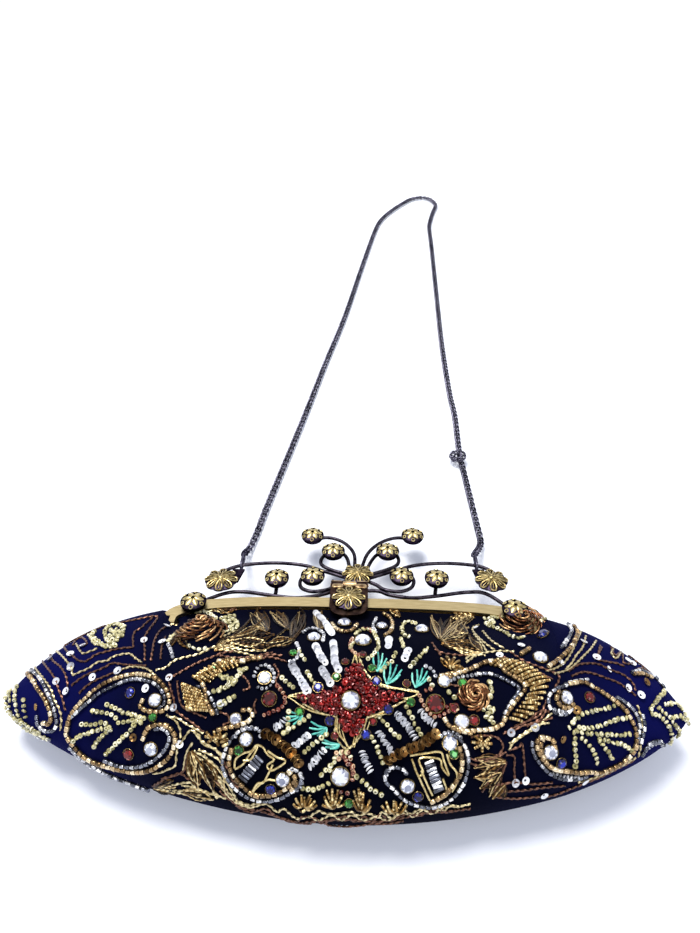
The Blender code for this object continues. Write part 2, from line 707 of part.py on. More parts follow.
def clasp_pin():
    bm = bmesh.new()
    reach = FLAP_WIDTH / 2 + FIT
    ends = [(CLASP_X + side * reach, BARREL_U, BARREL_W) for side in (-1, 1)]
    add_rod(bm, *ends, PIN_R, sides=SMALL_SIDES)
    from_bmesh("clasp_pin", bm, "brushed pale brass", FRAME)


def flap_outline():
    """The flap seen from above, about its pin: two straps, then a plate with round corners."""
    half, slot = FLAP_WIDTH / 2, CENTRE_KNUCKLE / 2 + FIT
    tip = -(BARREL_U + FLAP_REACH)
    turns = [math.pi / 2 * k / CORNER_STEPS for k in range(CORNER_STEPS + 1)]
    centre = (half - FLAP_CORNER, tip + FLAP_CORNER)
    right = [(centre[0] + FLAP_CORNER * math.cos(t), centre[1] - FLAP_CORNER * math.sin(t)) for t in turns]
    edge = [(slot, -FLAP_SLOT), (slot, 0), (half, 0), *right]
    return edge + [(-x, u) for x, u in reversed(edge)]


def clasp_flap():
    """The flap with its two knuckles and its side cheeks."""
    half, slot = FLAP_WIDTH / 2, CENTRE_KNUCKLE / 2 + FIT
    under = FIT / 2 + BAR_THICK + FLAP_CLEARANCE - BARREL_W
    flap = plate("clasp_flap", flap_outline(), FLAP_THICK, "brushed pale brass", CLASP)
    flap.location.z = under + FLAP_THICK / 2
    flap = baked(flap)
    knuckles, cheeks, hole = bmesh.new(), bmesh.new(), bmesh.new()
    step = FLAP_THICK / 4
    for side in (-1, 1):
        low, high = sorted((side * (slot + step / 2), side * (half - CHEEK_THICK / 2)))
        add_rod(knuckles, (low, 0, 0), (high, 0, 0), BARREL_R, sides=LARGE_SIDES)
        low, high = sorted((side * (half - CHEEK_THICK - step), side * (half - step)))
        near = 3 * FIT - BARREL_U
        add_box(cheeks, (low, near, under - CHEEK_DEPTH), (high, BARREL_R - step, under + FLAP_THICK / 2))
    add_rod(hole, (-FLAP_WIDTH, 0, 0), (FLAP_WIDTH, 0, 0), PIN_HOLE_R)
    for bm, operation in ((knuckles, "UNION"), (cheeks, "UNION"), (hole, "DIFFERENCE")):
        flap = combine(flap, from_bmesh("flap_tool", bm, None, CLASP, smooth=False, home=CUTTERS), operation)
    top = under + FLAP_THICK + FIT
    flower("clasp_flower", (0, CLASP_FLOWER_U - BARREL_U, top), CLASP_FLOWER_R, LARGE_PETAL_COUNT, CLASP)


def catch_stud():
    """The stud on the front bar that the flap snaps over."""
    bm = bmesh.new()
    seat = FIT / 2 + BAR_THICK + FIT
    foot, top = ((CLASP_X, -BAR_HEIGHT / 2, seat + rise) for rise in (0, STUD_HEIGHT))
    add_rod(bm, foot, top, STUD_R, sides=SMALL_SIDES, end_r=STUD_R * STUD_TOP_SHARE)
    in_frame(from_bmesh("catch_stud", bm, "brushed pale brass", FRAME), FRONT_HALF)


# Chain
def chain_fittings():
    """A tab under each upper wing and a long ring round its wire."""
    for side, hand in ((-1, "left"), (1, "right")):
        x, u, w = spot(side, *TAB_SHARES)
        outline = [(-TAB_NARROW / 2, -TAB_LENGTH), (TAB_NARROW / 2, -TAB_LENGTH)]
        outline += [(TAB_WIDE / 2, 0), (-TAB_WIDE / 2, 0)]
        tab = plate(f"{hand}_chain_tab", outline, TAB_THICK, "dark brass cup", FRAME)
        tab.location = (x, u, w)
        x, u, w = spot(side, *RING_SHARES)
        r = WIRE_R + FIT + RING_WIRE_R
        turns = [math.pi * k / RING_STEPS for k in range(RING_STEPS + 1)]
        near = [(x, u - r * math.sin(t), w + r * math.cos(t)) for t in turns]
        far = [(x, u + RING_LENGTH - 2 * r + r * math.sin(t), w - r * math.cos(t)) for t in turns]
        tube(f"{hand}_end_ring", near + far, RING_WIRE_R, "antique brass chain", FRAME, cyclic=True)


def ring_tip(side):
    """The middle of an end ring's wire at its far end, in the bag's own axes."""
    x, u, w = spot(side, *RING_SHARES)
    return Vector(plane_point(x, u + RING_LENGTH - WIRE_R - FIT - RING_WIRE_R, w))


# The chain's way over the table, between its first and last link
CHAIN_ROUTE = [
    (-0.0572, 0.0580, 0.0060), (-0.0560, 0.0640, 0.0024), (-0.0535, 0.0751, 0.0019),
    (-0.0505, 0.0925, 0.0019), (-0.0429, 0.1310, 0.0019), (-0.0343, 0.1750, 0.0019),
    (-0.0249, 0.2260, 0.0019), (-0.0132, 0.2860, 0.0019), (-0.0019, 0.3580, 0.0019),
    (0.0085, 0.4210, 0.0019), (0.0146, 0.4450, 0.0019), (0.0250, 0.4650, 0.0019),
    (0.0363, 0.4810, 0.0019), (0.0434, 0.4890, 0.0019), (0.0527, 0.4930, 0.0019),
    (0.0596, 0.4906, 0.0019), (0.0641, 0.4840, 0.0019), (0.0657, 0.4750, 0.0019),
    (0.0621, 0.4600, 0.0019), (0.0584, 0.4400, 0.0019), (0.0574, 0.4280, 0.0019),
    (0.0576, 0.3950, 0.0019), (0.0573, 0.3160, 0.0019), (0.0572, 0.2520, 0.0019),
    (0.0587, 0.1980, 0.0019), (0.0604, 0.1740, 0.0019), (0.0606, 0.1400, 0.0019),
    (0.0622, 0.1200, 0.0019), (0.0638, 0.1016, 0.0019), (0.0654, 0.0840, 0.0019),
    (0.0660, 0.0700, 0.0028),
]


def chain_strap():
    """The strap's curb chain, as it lies behind the bag."""
    way = [Vector(point) for point in CHAIN_ROUTE]
    for side, at in ((1, len(way)), (-1, 0)):
        tip = ring_tip(side)
        out = (way[min(at, len(way) - 1)] - tip).normalized()
        way.insert(at, tip + out * (RING_WIRE_R + FIT))
    route = smooth_route(way, CHAIN_POINTS)
    tube("chain_strap", route, CHAIN_R, "antique brass chain", BAG, fineness=2)


# Places of the sewn work: shares of the half length, and of the way up the front panel
STAR_SHARES = (0.008, 0.40)
LEAF_SHARES = (0.60, 0.33)
PAISLEY_SHARES = (0.205, 0.19)
STONE_SHARES = {
    "left_purl_rose": ("gold purl", ROSE_R, (-0.445, 0.79)),
    "right_purl_rose": ("gold purl", ROSE_R, (0.50, 0.78)),
    "side_purl_rose": ("gold purl", ROSE_R, (0.335, 0.415)),
    "left_red_stone": ("red stones", LARGE_STONE_R, (-0.211, 0.383)),
    "right_red_stone": ("red stones", LARGE_STONE_R, (0.225, 0.384)),
    "top_clear_stone": ("clear stones", STONE_R, (0.031, 0.717)),
    "bottom_clear_stone": ("clear stones", LARGE_STONE_R, (-0.021, 0.12)),
}


def panel_patch(name, centre, radius, finish, segments=PATCH_SEGMENT_COUNT):
    """A low pad that follows the panel; radius gives its reach at each turn, in x and up the panel."""
    x0, t0 = HALF_LENGTH * centre[0], centre[1]
    depth = mouth_edge(x0, 1)[0] - bottom_edge(x0)
    bm = bmesh.new()
    bmesh.ops.create_uvsphere(bm, u_segments=segments, v_segments=2 * PATCH_RING_COUNT, radius=1)
    bmesh.ops.delete(bm, geom=[v for v in bm.verts if v.co.z < -WELD], context="VERTS")
    for vert in bm.verts:
        out = 1 - math.acos(max(min(math.hypot(vert.co.x, vert.co.y), 1), 0)) / (math.pi / 2)
        turn = math.atan2(vert.co.y, vert.co.x)
        dx, dy = radius(turn)
        x, t = x0 + dx * out, t0 + dy * out / depth
        vert.co = skin_point(x, t, -PAD_SEAT)
    mesh = bpy.data.meshes.new(name)
    bmesh.ops.recalc_face_normals(bm, faces=bm.faces)
    bm.normal_update()
    if sum(face.normal.z for face in bm.faces) < 0:
        bmesh.ops.reverse_faces(bm, faces=bm.faces)
    bm.to_mesh(mesh)
    bm.free()
    mesh.shade_smooth()
    thing = put(name, mesh, finish, BAG)
    step = thing.modifiers.new("pad", "SOLIDIFY")
    step.thickness = PAD_THICK
    step.offset = 1
    return thing


def star_reach(turn):
    """Four long points with drawn-in sides."""
    along, up = math.cos(turn), math.sin(turn)
    pull = (abs(along) ** STAR_POWER + abs(up) ** STAR_POWER) ** (-1 / STAR_POWER)
    return STAR_REACH_X * along * pull, STAR_REACH_Y * up * pull


def leaf_reach(half_long, half_wide, lean):
    """A leaf with one point, leaning by this angle."""

    def reach(turn):
        along, across = half_long * math.cos(turn), half_wide * math.sin(turn)
        across *= 1 - LEAF_TAPER_SHARE * math.cos(turn)
        cos, sin = math.cos(lean), math.sin(lean)
        return along * cos - across * sin, along * sin + across * cos

    return reach


def stone(name, finish, r, place, lift=0.0):
    """A round stone or knot that stands on the panel, or on a pad this high."""
    bm = bmesh.new()
    x, t = HALF_LENGTH * place[0], place[1]
    normal = skin_normal(x, t)
    foot = section(x, t) + normal * (2 * FIT + lift)
    top = foot + normal * STONE_HEIGHT
    add_rod(bm, foot, top, r, sides=SMALL_SIDES, end_r=r * STONE_TOP_SHARE)
    from_bmesh(name, bm, finish, BAG)


def beadwork():
    """The raised motifs of the front panel as low pads, and its stones."""
    panel_patch("centre_star", STAR_SHARES, star_reach, "red seed beads", STAR_SEGMENT_COUNT)
    stone("centre_stone", "clear stones", LARGE_STONE_R, STAR_SHARES, PAD_THICK + PAD_SEAT)
    for side, hand in ((-1, "left"), (1, "right")):
        across, up = LEAF_SHARES
        reach = leaf_reach(side * LEAF_LONG, LEAF_WIDE, side * LEAF_LEAN)
        panel_patch(f"{hand}_leaf", (side * across, up), reach, "cream seed beads")
        across, up = PAISLEY_SHARES
        reach = leaf_reach(side * PAISLEY_LONG, PAISLEY_WIDE, side * PAISLEY_LEAN)
        panel_patch(f"{hand}_paisley", (side * across, up), reach, "gold purl")
    for name, (finish, r, place) in STONE_SHARES.items():
        stone(name, finish, r, place)


def centre_on_origin():
    """Moves the bag so that its box, without the chain and its rings, stands on the origin."""
    bpy.context.view_layer.update()
    graph = bpy.context.evaluated_depsgraph_get()
    corners = []
    for thing in PARTS.objects:
        if thing.type == "EMPTY" or thing.name in CORD_NODES:
            continue
        piece = thing.evaluated_get(graph)
        mesh = piece.to_mesh()
        spots = np.array([thing.matrix_world @ vert.co for vert in mesh.vertices])
        piece.to_mesh_clear()
        corners += [spots.min(axis=0), spots.max(axis=0)]
    low, high = np.min(corners, axis=0), np.max(corners, axis=0)
    BAG.location = (-(low[0] + high[0]) / 2, -(low[1] + high[1]) / 2, -low[2])


CORD_NODES = ("chain_strap", "left_end_ring", "right_end_ring")

clear_scene()
PARTS = collection("beaded_evening_bag")
CUTTERS = collection("cutters")
BAG = empty("bag_axes", None, (0, 0, 0))
FRAME = empty("frame_axes", BAG, (0, FRAME_Y, FRAME_Z), -FRAME_TILT)
FRONT_HALF = empty("front_half_hinge", FRAME, (0, -ARCH_RISE, 0))
CLASP = empty("clasp_hinge", FRAME, (CLASP_X, BARREL_U, BARREL_W))

cloth_layers()
for part_name, face, outer, carrier in (
    ("rear_frame_bar", -1, True, FRAME),
    ("front_frame_bar", 1, False, FRONT_HALF),
):
    frame_bar(part_name, face, outer, carrier)
    channel_cord(part_name.replace("bar", "cord"), face, carrier)
hinge_rivets()
clasp_base()
clasp_pin()
clasp_flap()
catch_stud()
butterfly()
shoulder_caps()
chain_fittings()
chain_strap()
beadwork()
centre_on_origin()
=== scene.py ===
"""Beaded evening bag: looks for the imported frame, laid out as a Blender add-on.
Lengths are in metres. Work on the bag is given in the bag's own axes, with +X along the frame,
+Y from the bottom edge to the frame and +Z up from the table, and moved to the frame's place at the end."""

import math

import bpy
import numpy as np
from bpy.props import FloatProperty, FloatVectorProperty, PointerProperty
from mathutils import Matrix, Vector
from mathutils.bvhtree import BVHTree


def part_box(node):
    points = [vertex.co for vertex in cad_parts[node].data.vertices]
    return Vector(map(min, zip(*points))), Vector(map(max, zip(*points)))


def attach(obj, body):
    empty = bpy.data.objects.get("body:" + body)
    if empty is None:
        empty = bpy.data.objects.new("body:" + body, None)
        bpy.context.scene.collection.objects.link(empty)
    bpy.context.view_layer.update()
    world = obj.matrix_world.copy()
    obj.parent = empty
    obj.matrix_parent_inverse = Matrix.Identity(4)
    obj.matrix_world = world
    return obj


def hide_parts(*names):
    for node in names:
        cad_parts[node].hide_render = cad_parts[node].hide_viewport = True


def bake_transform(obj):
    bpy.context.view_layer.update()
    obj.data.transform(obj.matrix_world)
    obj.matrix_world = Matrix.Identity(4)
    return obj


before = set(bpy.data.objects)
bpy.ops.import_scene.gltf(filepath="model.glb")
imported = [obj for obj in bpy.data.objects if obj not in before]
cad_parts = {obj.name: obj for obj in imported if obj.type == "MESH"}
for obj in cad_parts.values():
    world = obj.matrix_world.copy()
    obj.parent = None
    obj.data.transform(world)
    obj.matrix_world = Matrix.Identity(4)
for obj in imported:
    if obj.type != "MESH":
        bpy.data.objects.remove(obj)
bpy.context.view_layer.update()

bl_info = {
    "name": "Beaded Evening Bag",
    "version": (1, 0, 0),
    "blender": (4, 5, 0),
    "location": "3D View > Sidebar > Evening Bag",
    "description": "Builds a beaded frame bag with a wire butterfly and a curb chain",
    "category": "Add Mesh",
}

# ---------------------------------------------------------------- shape of the bag, as in the frame
HALF_LENGTH, RIGHT_SHARE = 0.145, 0.888
TIP_Y, BOTTOM_REACH, SHOULDER_REACH = -0.032, 0.043, 0.047
BOTTOM_POWER, BOTTOM_ROUND, SHOULDER_POWER, SHOULDER_ROUND = 1.8, 0.77, 3.7, 0.74
EQUATOR_Z, TIP_Z, EQUATOR_POWER, SEAM_RISE = 0.014, 0.0167, 3, 0.008
CROWN, BELLY = 0.027, 0.024
SWELL_POWER, SWELL_END_SHARE, CROWN_ROUND, BELLY_ROUND = 3.8, 1.006, 0.9, 0.62
FRONT_POWER, MOUTH_POWER, FRONT_LEAN, BACK_POWER = 0.55, 0.8, 0.8, 0.5
SEAM_GAP, SEAM_LOW_SHARE, SEAM_DROP_SHARE = 0.0008, 0.022, 0.17
FRAME_Y, FRAME_Z, FRAME_TILT = 0.0165, 0.0226, math.radians(14)
ARCH_HALF, ARCH_RISE, ARCH_POWER, ARCH_POINTS = 0.084, 0.018, 3.2, 96
BAR_HEIGHT, BAR_THICK, FIT = 0.006, 0.0036, 0.0003
MOUTH_END, NOTCH_END = 0.0762, 0.0855
WIRE_W, TABLE_GAP = -0.001, 0.0001
SHIFT = Vector((0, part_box("back_panel")[0][1] - TIP_Y + BOTTOM_REACH, 0))

# Camera, in the bag's own axes, and the photograph's frame
CAMERA_SPOT = Vector((0.00386, -0.16566, 0.29414))
CAMERA_TILT, CAMERA_YAW, CAMERA_ROLL = math.radians(45), math.radians(1.71), math.radians(-0.12)
PHOTO_WIDTH, PHOTO_HEIGHT, FOCAL = 700, 933, 700


def unit(vectors):
    """Directions of length one."""
    return vectors / np.maximum(np.linalg.norm(vectors, axis=-1, keepdims=True), 1e-12)


def swell(x, power):
    """How much of the stuffing's height is left towards the pointed ends."""
    share = np.minimum(np.abs(x) / (HALF_LENGTH * SWELL_END_SHARE), 1)
    return (1 - share**SWELL_POWER) ** power


def bottom_edge(x):
    """Y of the bag's bottom edge."""
    return TIP_Y - BOTTOM_REACH * (1 - np.minimum(np.abs(x) / HALF_LENGTH, 1) ** BOTTOM_POWER) ** BOTTOM_ROUND


def shoulder_edge(x):
    """Y of the bag's upper edge beside the frame."""
    share = np.minimum(np.abs(x) / HALF_LENGTH, 1)
    return TIP_Y + SHOULDER_REACH * (1 - share**SHOULDER_POWER) ** SHOULDER_ROUND


def equator_height(x):
    """Z of the widest line round the bag."""
    return EQUATOR_Z + (TIP_Z - EQUATOR_Z) * (np.abs(x) / HALF_LENGTH) ** EQUATOR_POWER


def arch_line(inset):
    """The bar's outline on its right half, moved inward by inset, from the middle to the foot."""
    turns = np.linspace(math.pi / 2, 0, ARCH_POINTS)
    power = 2 / ARCH_POWER
    line = np.stack([ARCH_HALF * np.cos(turns) ** power, ARCH_RISE * (np.sin(turns) ** power - 1)], axis=1)
    along = unit(np.gradient(line, axis=0))
    inward = np.stack([along[:, 1], -along[:, 0]], axis=1)
    inward[0], inward[-1] = (0, -1), (-1, 0)
    return line + inward * inset


def arch_height(x, inset):
    """U of the bar's outline at x, moved inward by inset."""
    line = arch_line(inset)
    return np.interp(np.abs(x), line[:, 0], line[:, 1])


def plane_point(x, u, w):
    """A point of the frame's tilted plane, in the bag's own axes: u up the plane, w out of it."""
    cos, sin = math.cos(FRAME_TILT), math.sin(FRAME_TILT)
    y, z = FRAME_Y + u * cos + w * sin, FRAME_Z - u * sin + w * cos
    return np.stack(np.broadcast_arrays(x, y, z), axis=-1)


def skin(x, q):
    """Points of the stuffed skin: q from -1 at the rear upper edge, through 0 at the bottom, to 1 in front.
    The bag's right end is a little shorter than its left one."""
    x, q = np.broadcast_arrays(np.asarray(x, float), np.asarray(q, float))
    side, t = np.where(q < 0, -1, 1), np.minimum(np.abs(q), 1)
    part = np.clip((NOTCH_END - np.abs(x)) / (NOTCH_END - MOUTH_END), 0, 1)
    part = part * part * (3 - 2 * part)
    u = arch_height(np.minimum(np.abs(x), MOUTH_END), BAR_HEIGHT + FIT)
    mouth = plane_point(x, u, side * (BAR_THICK + FIT) / 2)
    seam_z = equator_height(x) + SEAM_RISE * swell(x, 1) + side * SEAM_GAP / 2
    top_y = part * mouth[..., 1] + (1 - part) * shoulder_edge(x)
    top_z = part * mouth[..., 2] + (1 - part) * seam_z
    y = bottom_edge(x) + (top_y - bottom_edge(x)) * t
    z = equator_height(x) + (top_z - equator_height(x)) * t
    rise = np.sin(math.pi * t**FRONT_LEAN) ** (FRONT_POWER + part * MOUTH_POWER * t * t)
    drop = np.sin(math.pi * t) ** BACK_POWER
    z = np.where(side > 0, z + CROWN * swell(x, CROWN_ROUND) * rise, z - BELLY * swell(x, BELLY_ROUND) * drop)
    across = np.where(x > ARCH_HALF, ARCH_HALF + (x - ARCH_HALF) * RIGHT_SHARE, x)
    return np.stack([across, y, np.maximum(z, TABLE_GAP)], axis=-1)


def seam_spot(x):
    """q of the seam between velvet and satin, which runs under the bag towards its ends."""
    return -SEAM_LOW_SHARE - SEAM_DROP_SHARE * (np.abs(x) / HALF_LENGTH) ** 2


def fine_rows(start, end, count):
    """q at places that crowd towards the bottom, where the skin turns fastest."""
    low, high = np.sign(start) * np.sqrt(np.abs(start)), np.sign(end) * np.sqrt(np.abs(end))
    place = low + (high - low) * np.linspace(0, 1, count)
    return place * np.abs(place)


def piece(name, verts, faces, finish, sharp=None):
    """A mesh object from points in the bag's own axes, moved to the frame's place."""
    mesh = bpy.data.meshes.new(name)
    mesh.from_pydata([tuple(point) for point in np.asarray(verts, float) + np.array(SHIFT)], [], faces)
    mesh.validate()
    mesh.update()
    mesh.shade_smooth()
    if sharp is not None:
        mesh.set_sharp_from_angle(angle=sharp)
    mesh.materials.append(finish)
    made = bpy.data.objects.new(name, mesh)
    bpy.context.scene.collection.objects.link(made)
    return made


def settle(made, body, slot, *nodes):
    """Gives a piece its body and the solids that it stands for; its slot is not used."""
    if body == "bend":
        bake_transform(made)
    else:
        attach(made, body)
    if nodes:
        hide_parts(*nodes)
    return made


def stamp(template, spots, turns):
    """One shape set down many times: spots are places, turns are 3 by 3 arrays that hold its axes and size."""
    shape, faces = template
    spots, turns = np.asarray(spots, float).reshape(-1, 3), np.asarray(turns, float).reshape(-1, 3, 3)
    verts = np.einsum("nij,kj->nki", turns, shape) + spots[:, None, :]
    count = len(shape)
    many = [tuple(v + n * count for v in face) for n in range(len(spots)) for face in faces]
    return verts.reshape(-1, 3), many


def joined(parts):
    """Several lots of points and faces as one."""
    verts, faces, start = [], [], 0
    for points, some in parts:
        verts.append(np.asarray(points, float).reshape(-1, 3))
        faces += [tuple(v + start for v in face) for face in some]
        start += len(points)
    return np.concatenate(verts), faces


def ring_mesh(rings, closed=True, caps=True):
    """Faces over rings of points, each ring as long as the others; closed means that each ring is a loop."""
    rings = np.asarray(rings, float)
    rows, sides = rings.shape[:2]
    faces = []
    last = sides if closed else sides - 1
    for a in range(rows - 1):
        for b in range(last):
            c = (b + 1) % sides
            faces.append((a * sides + b, a * sides + c, (a + 1) * sides + c, (a + 1) * sides + b))
    if caps:
        faces.append(tuple(reversed(range(sides))))
        faces.append(tuple((rows - 1) * sides + b for b in range(sides)))
    return rings.reshape(-1, 3), faces


def full_turn(steps):
    return np.linspace(0, 2 * math.pi, steps, endpoint=False)


def turned(profile, sides, caps=True):
    """A shape turned about its own Z from (radius, height) points."""
    turns = full_turn(sides)
    rings = [np.stack([r * np.cos(turns), r * np.sin(turns), np.full(sides, z)], axis=1) for r, z in profile]
    return ring_mesh(rings, caps=caps)


def hoop_faces(steps, sides):
    """Faces of a closed hoop: steps rings of sides points each."""
    ahead = [(a, (a + 1) % steps) for a in range(steps)]
    beside = [(b, (b + 1) % sides) for b in range(sides)]
    return [(a * sides + b, c * sides + b, c * sides + d, a * sides + d) for a, c in ahead for b, d in beside]


def doughnut(r, wire, steps, sides, squash=1.0):
    """A round bead or ring about its own Z."""
    turn, roll = full_turn(steps)[:, None], full_turn(sides)[None, :]
    out = r + wire * np.cos(roll)
    up = np.broadcast_to(wire * squash * np.sin(roll), (steps, sides))
    points = np.stack([out * np.cos(turn), out * np.sin(turn), up], axis=-1)
    return points.reshape(-1, 3), hoop_faces(steps, sides)


def smooth_line(points, step):
    """Points at even steps on a Catmull-Rom curve through the given ones."""
    given = np.asarray(points, float)
    if len(given) == 2:
        given = np.stack([given[0], given.mean(axis=0), given[1]])
    given = np.concatenate([[2 * given[0] - given[1]], given, [2 * given[-1] - given[-2]]])
    t = np.linspace(0, 1, CURVE_STEPS, endpoint=False)[:, None]
    fine = []
    for a, b, c, d in zip(given, given[1:], given[2:], given[3:]):
        fine.append((2 * b + (c - a) * t + (2 * a - 5 * b + 4 * c - d) * t**2 + (3 * b - a - 3 * c + d) * t**3) / 2)
    fine = np.concatenate(fine + [given[-2:-1]])
    return even_line(fine, step)


CURVE_STEPS = 12


def lengths_along(line):
    """How far along a line each of its points is."""
    return np.concatenate([[0], np.cumsum(np.linalg.norm(np.diff(line, axis=0), axis=1))])


def even_line(line, step, measured=None):
    """A line at even steps; measured is how many of its columns count as distance."""
    along = lengths_along(line[:, :measured])
    count = max(int(round(along[-1] / step)), 1) + 1
    at = np.linspace(0, along[-1], count)
    return np.stack([np.interp(at, along, line[:, k]) for k in range(line.shape[1])], axis=1)


def axes_along(line, normals):
    """Right-handed axes at each point of a line: along it, across it and away from the cloth."""
    along = unit(np.gradient(line, axis=0))
    across = unit(np.cross(normals, along))
    return np.stack([along, across, np.cross(along, across)], axis=-1)


def swept(line, normals, r, sides=6, ply=0, twist=0.0012, ply_depth=0.3, caps=True, radii=None):
    """A round cord along a line; ply strands twist round each other once in every twist metres."""
    line = np.asarray(line, float)
    axes = axes_along(line, normals)
    roll = full_turn(sides)
    phase = roll[None, :] - (2 * math.pi * lengths_along(line) / twist)[:, None] / max(ply, 1)
    reach = r * np.ones_like(phase) if radii is None else r * np.broadcast_to(radii[:, None], phase.shape)
    if ply:
        reach = reach * (1 - ply_depth * (0.5 - 0.5 * np.cos(ply * phase)))
    rings = (
        line[:, None, :]
        + reach[..., None] * np.cos(roll)[None, :, None] * axes[:, None, :, 1]
        + reach[..., None] * np.sin(roll)[None, :, None] * axes[:, None, :, 2]
    )
    return ring_mesh(rings, caps=caps)


def upright(count):
    """Straight up, once for each of count points."""
    return np.broadcast_to(np.array([0.0, 0.0, 1.0]), (count, 3))


# ---------------------------------------------------------------- from the photograph's pixels to the cloth
AXES = Matrix.Rotation(CAMERA_YAW, 3, "Z") @ Matrix.Rotation(CAMERA_TILT, 3, "X") @ Matrix.Rotation(CAMERA_ROLL, 3, "Z")
NET_REACH, NET_COLUMNS, NET_ROWS, NET_LOW = 0.999, 281, 130, -0.3


def front_net():
    """The part of the skin that carries sewn work, as a fine net."""
    across = HALF_LENGTH * NET_REACH * np.sin(np.linspace(-math.pi / 2, math.pi / 2, NET_COLUMNS))
    points = skin(across[None, :], fine_rows(NET_LOW, 1.0, NET_ROWS)[:, None])
    return ring_mesh(points, closed=False, caps=False)


def pixels_of(points):
    """The photograph's pixel of each point."""
    x, y, z = ((points - np.array(CAMERA_SPOT)) @ np.array(AXES)).T
    return np.stack([PHOTO_WIDTH / 2 - FOCAL * x / z, PHOTO_HEIGHT / 2 + FOCAL * y / z], axis=1)


NET_POINTS, NET_FACES = front_net()
NET_PIXELS = pixels_of(NET_POINTS)
NET = BVHTree.FromPolygons([Vector(point) for point in NET_POINTS], NET_FACES)


def cast(px, py):
    """Where a pixel's ray meets the cloth, and the cloth's outward direction there.
    A ray that passes beside the cloth takes the edge nearest to it in the photograph."""
    way = AXES @ Vector(((px - PHOTO_WIDTH / 2) / FOCAL, (PHOTO_HEIGHT / 2 - py) / FOCAL, -1))
    way.normalize()
    spot, normal, _, _ = NET.ray_cast(CAMERA_SPOT, way)
    if spot is None:
        nearest = np.argmin(np.hypot(NET_PIXELS[:, 0] - px, NET_PIXELS[:, 1] - py))
        spot, normal, _, _ = NET.find_nearest(Vector(NET_POINTS[nearest]))
    return np.array(spot), np.array(normal)


STROKE_PIXELS = 0.8


def stroke(pixels, step, rise=0.0):
    """A line of sewn work through photograph pixels, at even steps, this far above the cloth."""
    both = np.array([np.concatenate(cast(px, py)) for px, py in smooth_line(pixels, STROKE_PIXELS)])
    both = even_line(both, step, 3)
    normals = unit(both[:, 3:])
    return both[:, :3] + normals * rise, normals


# ---------------------------------------------------------------- materials
def linear(colour):
    """sRGB hex to linear light."""
    parts = [int(colour[k : k + 2], 16) / 255 for k in (1, 3, 5)]
    return tuple(c / 12.92 if c <= 0.04045 else ((c + 0.055) / 1.055) ** 2.4 for c in parts) + (1.0,)


def add(tree, kind, settings, **inputs):
    """A node with its settings, and its inputs as values or links: an underscore stands for a space, and n
    with a number for the input at that place."""
    node = tree.nodes.new(kind)
    for key, value in settings.items():
        setattr(node, key, value)
    for key, value in inputs.items():
        socket = node.inputs[int(key[1:])] if key.startswith("n") else node.inputs[key.replace("_", " ")]
        if isinstance(value, bpy.types.NodeSocket):
            tree.links.new(value, socket)
        else:
            socket.default_value = value
    return node


def maths(tree, operation, **inputs):
    return add(tree, "ShaderNodeMath", {"operation": operation}, **inputs).outputs[0]


def mixed(tree, share, low, high):
    return add(tree, "ShaderNodeMix", {"data_type": "FLOAT"}, n0=share, n2=low, n3=high).outputs[0]


FINISHES = {}
PATCH_LOW, PATCH_HIGH, PATCH_DETAIL = 0.32, 0.68, 4.0


def finish_of(name, colours, metallic, roughness, grain, bump=0.0, by_piece=0.0, stretch=(1, 1, 1), **shader_values):
    """A material that mixes its colours in patches of this grain, in metres, with a bump of this height.
    by_piece is how far each separate bead or stitch differs from the next."""
    if name in FINISHES:
        return FINISHES[name]
    made = FINISHES[name] = bpy.data.materials.new(name)
    made.use_nodes = True
    tree = made.node_tree
    shader = tree.nodes["Principled BSDF"]
    for key, value in dict(Metallic=metallic, Roughness=roughness, **shader_values).items():
        shader.inputs[key.replace("_", " ")].default_value = value
    place = add(tree, "ShaderNodeTexCoord", {}).outputs["Object"]
    scaled = add(tree, "ShaderNodeMapping", {}, Vector=place, Scale=tuple(k / grain for k in stretch)).outputs["Vector"]
    noise = add(tree, "ShaderNodeTexNoise", {}, Vector=scaled, Scale=1.0, Detail=PATCH_DETAIL).outputs["Fac"]
    share = add(tree, "ShaderNodeMapRange", {}, Value=noise, n1=PATCH_LOW, n2=PATCH_HIGH).outputs["Result"]
    if by_piece:
        share = mixed(tree, by_piece, share, add(tree, "ShaderNodeNewGeometry", {}).outputs["Random Per Island"])
    ramp = add(tree, "ShaderNodeValToRGB", {}, Fac=share)
    stops = ramp.color_ramp.elements
    for k in range(1, len(colours) - 1):
        stops.new(k / (len(colours) - 1))
    for stop, colour in zip(sorted(stops, key=lambda stop: stop.position), colours):
        stop.color = linear(colour)
    tree.links.new(ramp.outputs["Color"], shader.inputs["Base Color"])
    if bump:
        raised = add(tree, "ShaderNodeBump", {}, Strength=1.0, Distance=bump, Height=noise)
        tree.links.new(raised.outputs["Normal"], shader.inputs["Normal"])
    return made


# Reach from the middle, in metres, over which the velvet's painted shade turns to painted light
VELVET_SHADE_REACH, VELVET_LIGHT_REACH, VELVET_PATCHES = 0.04, 0.12, 0.25


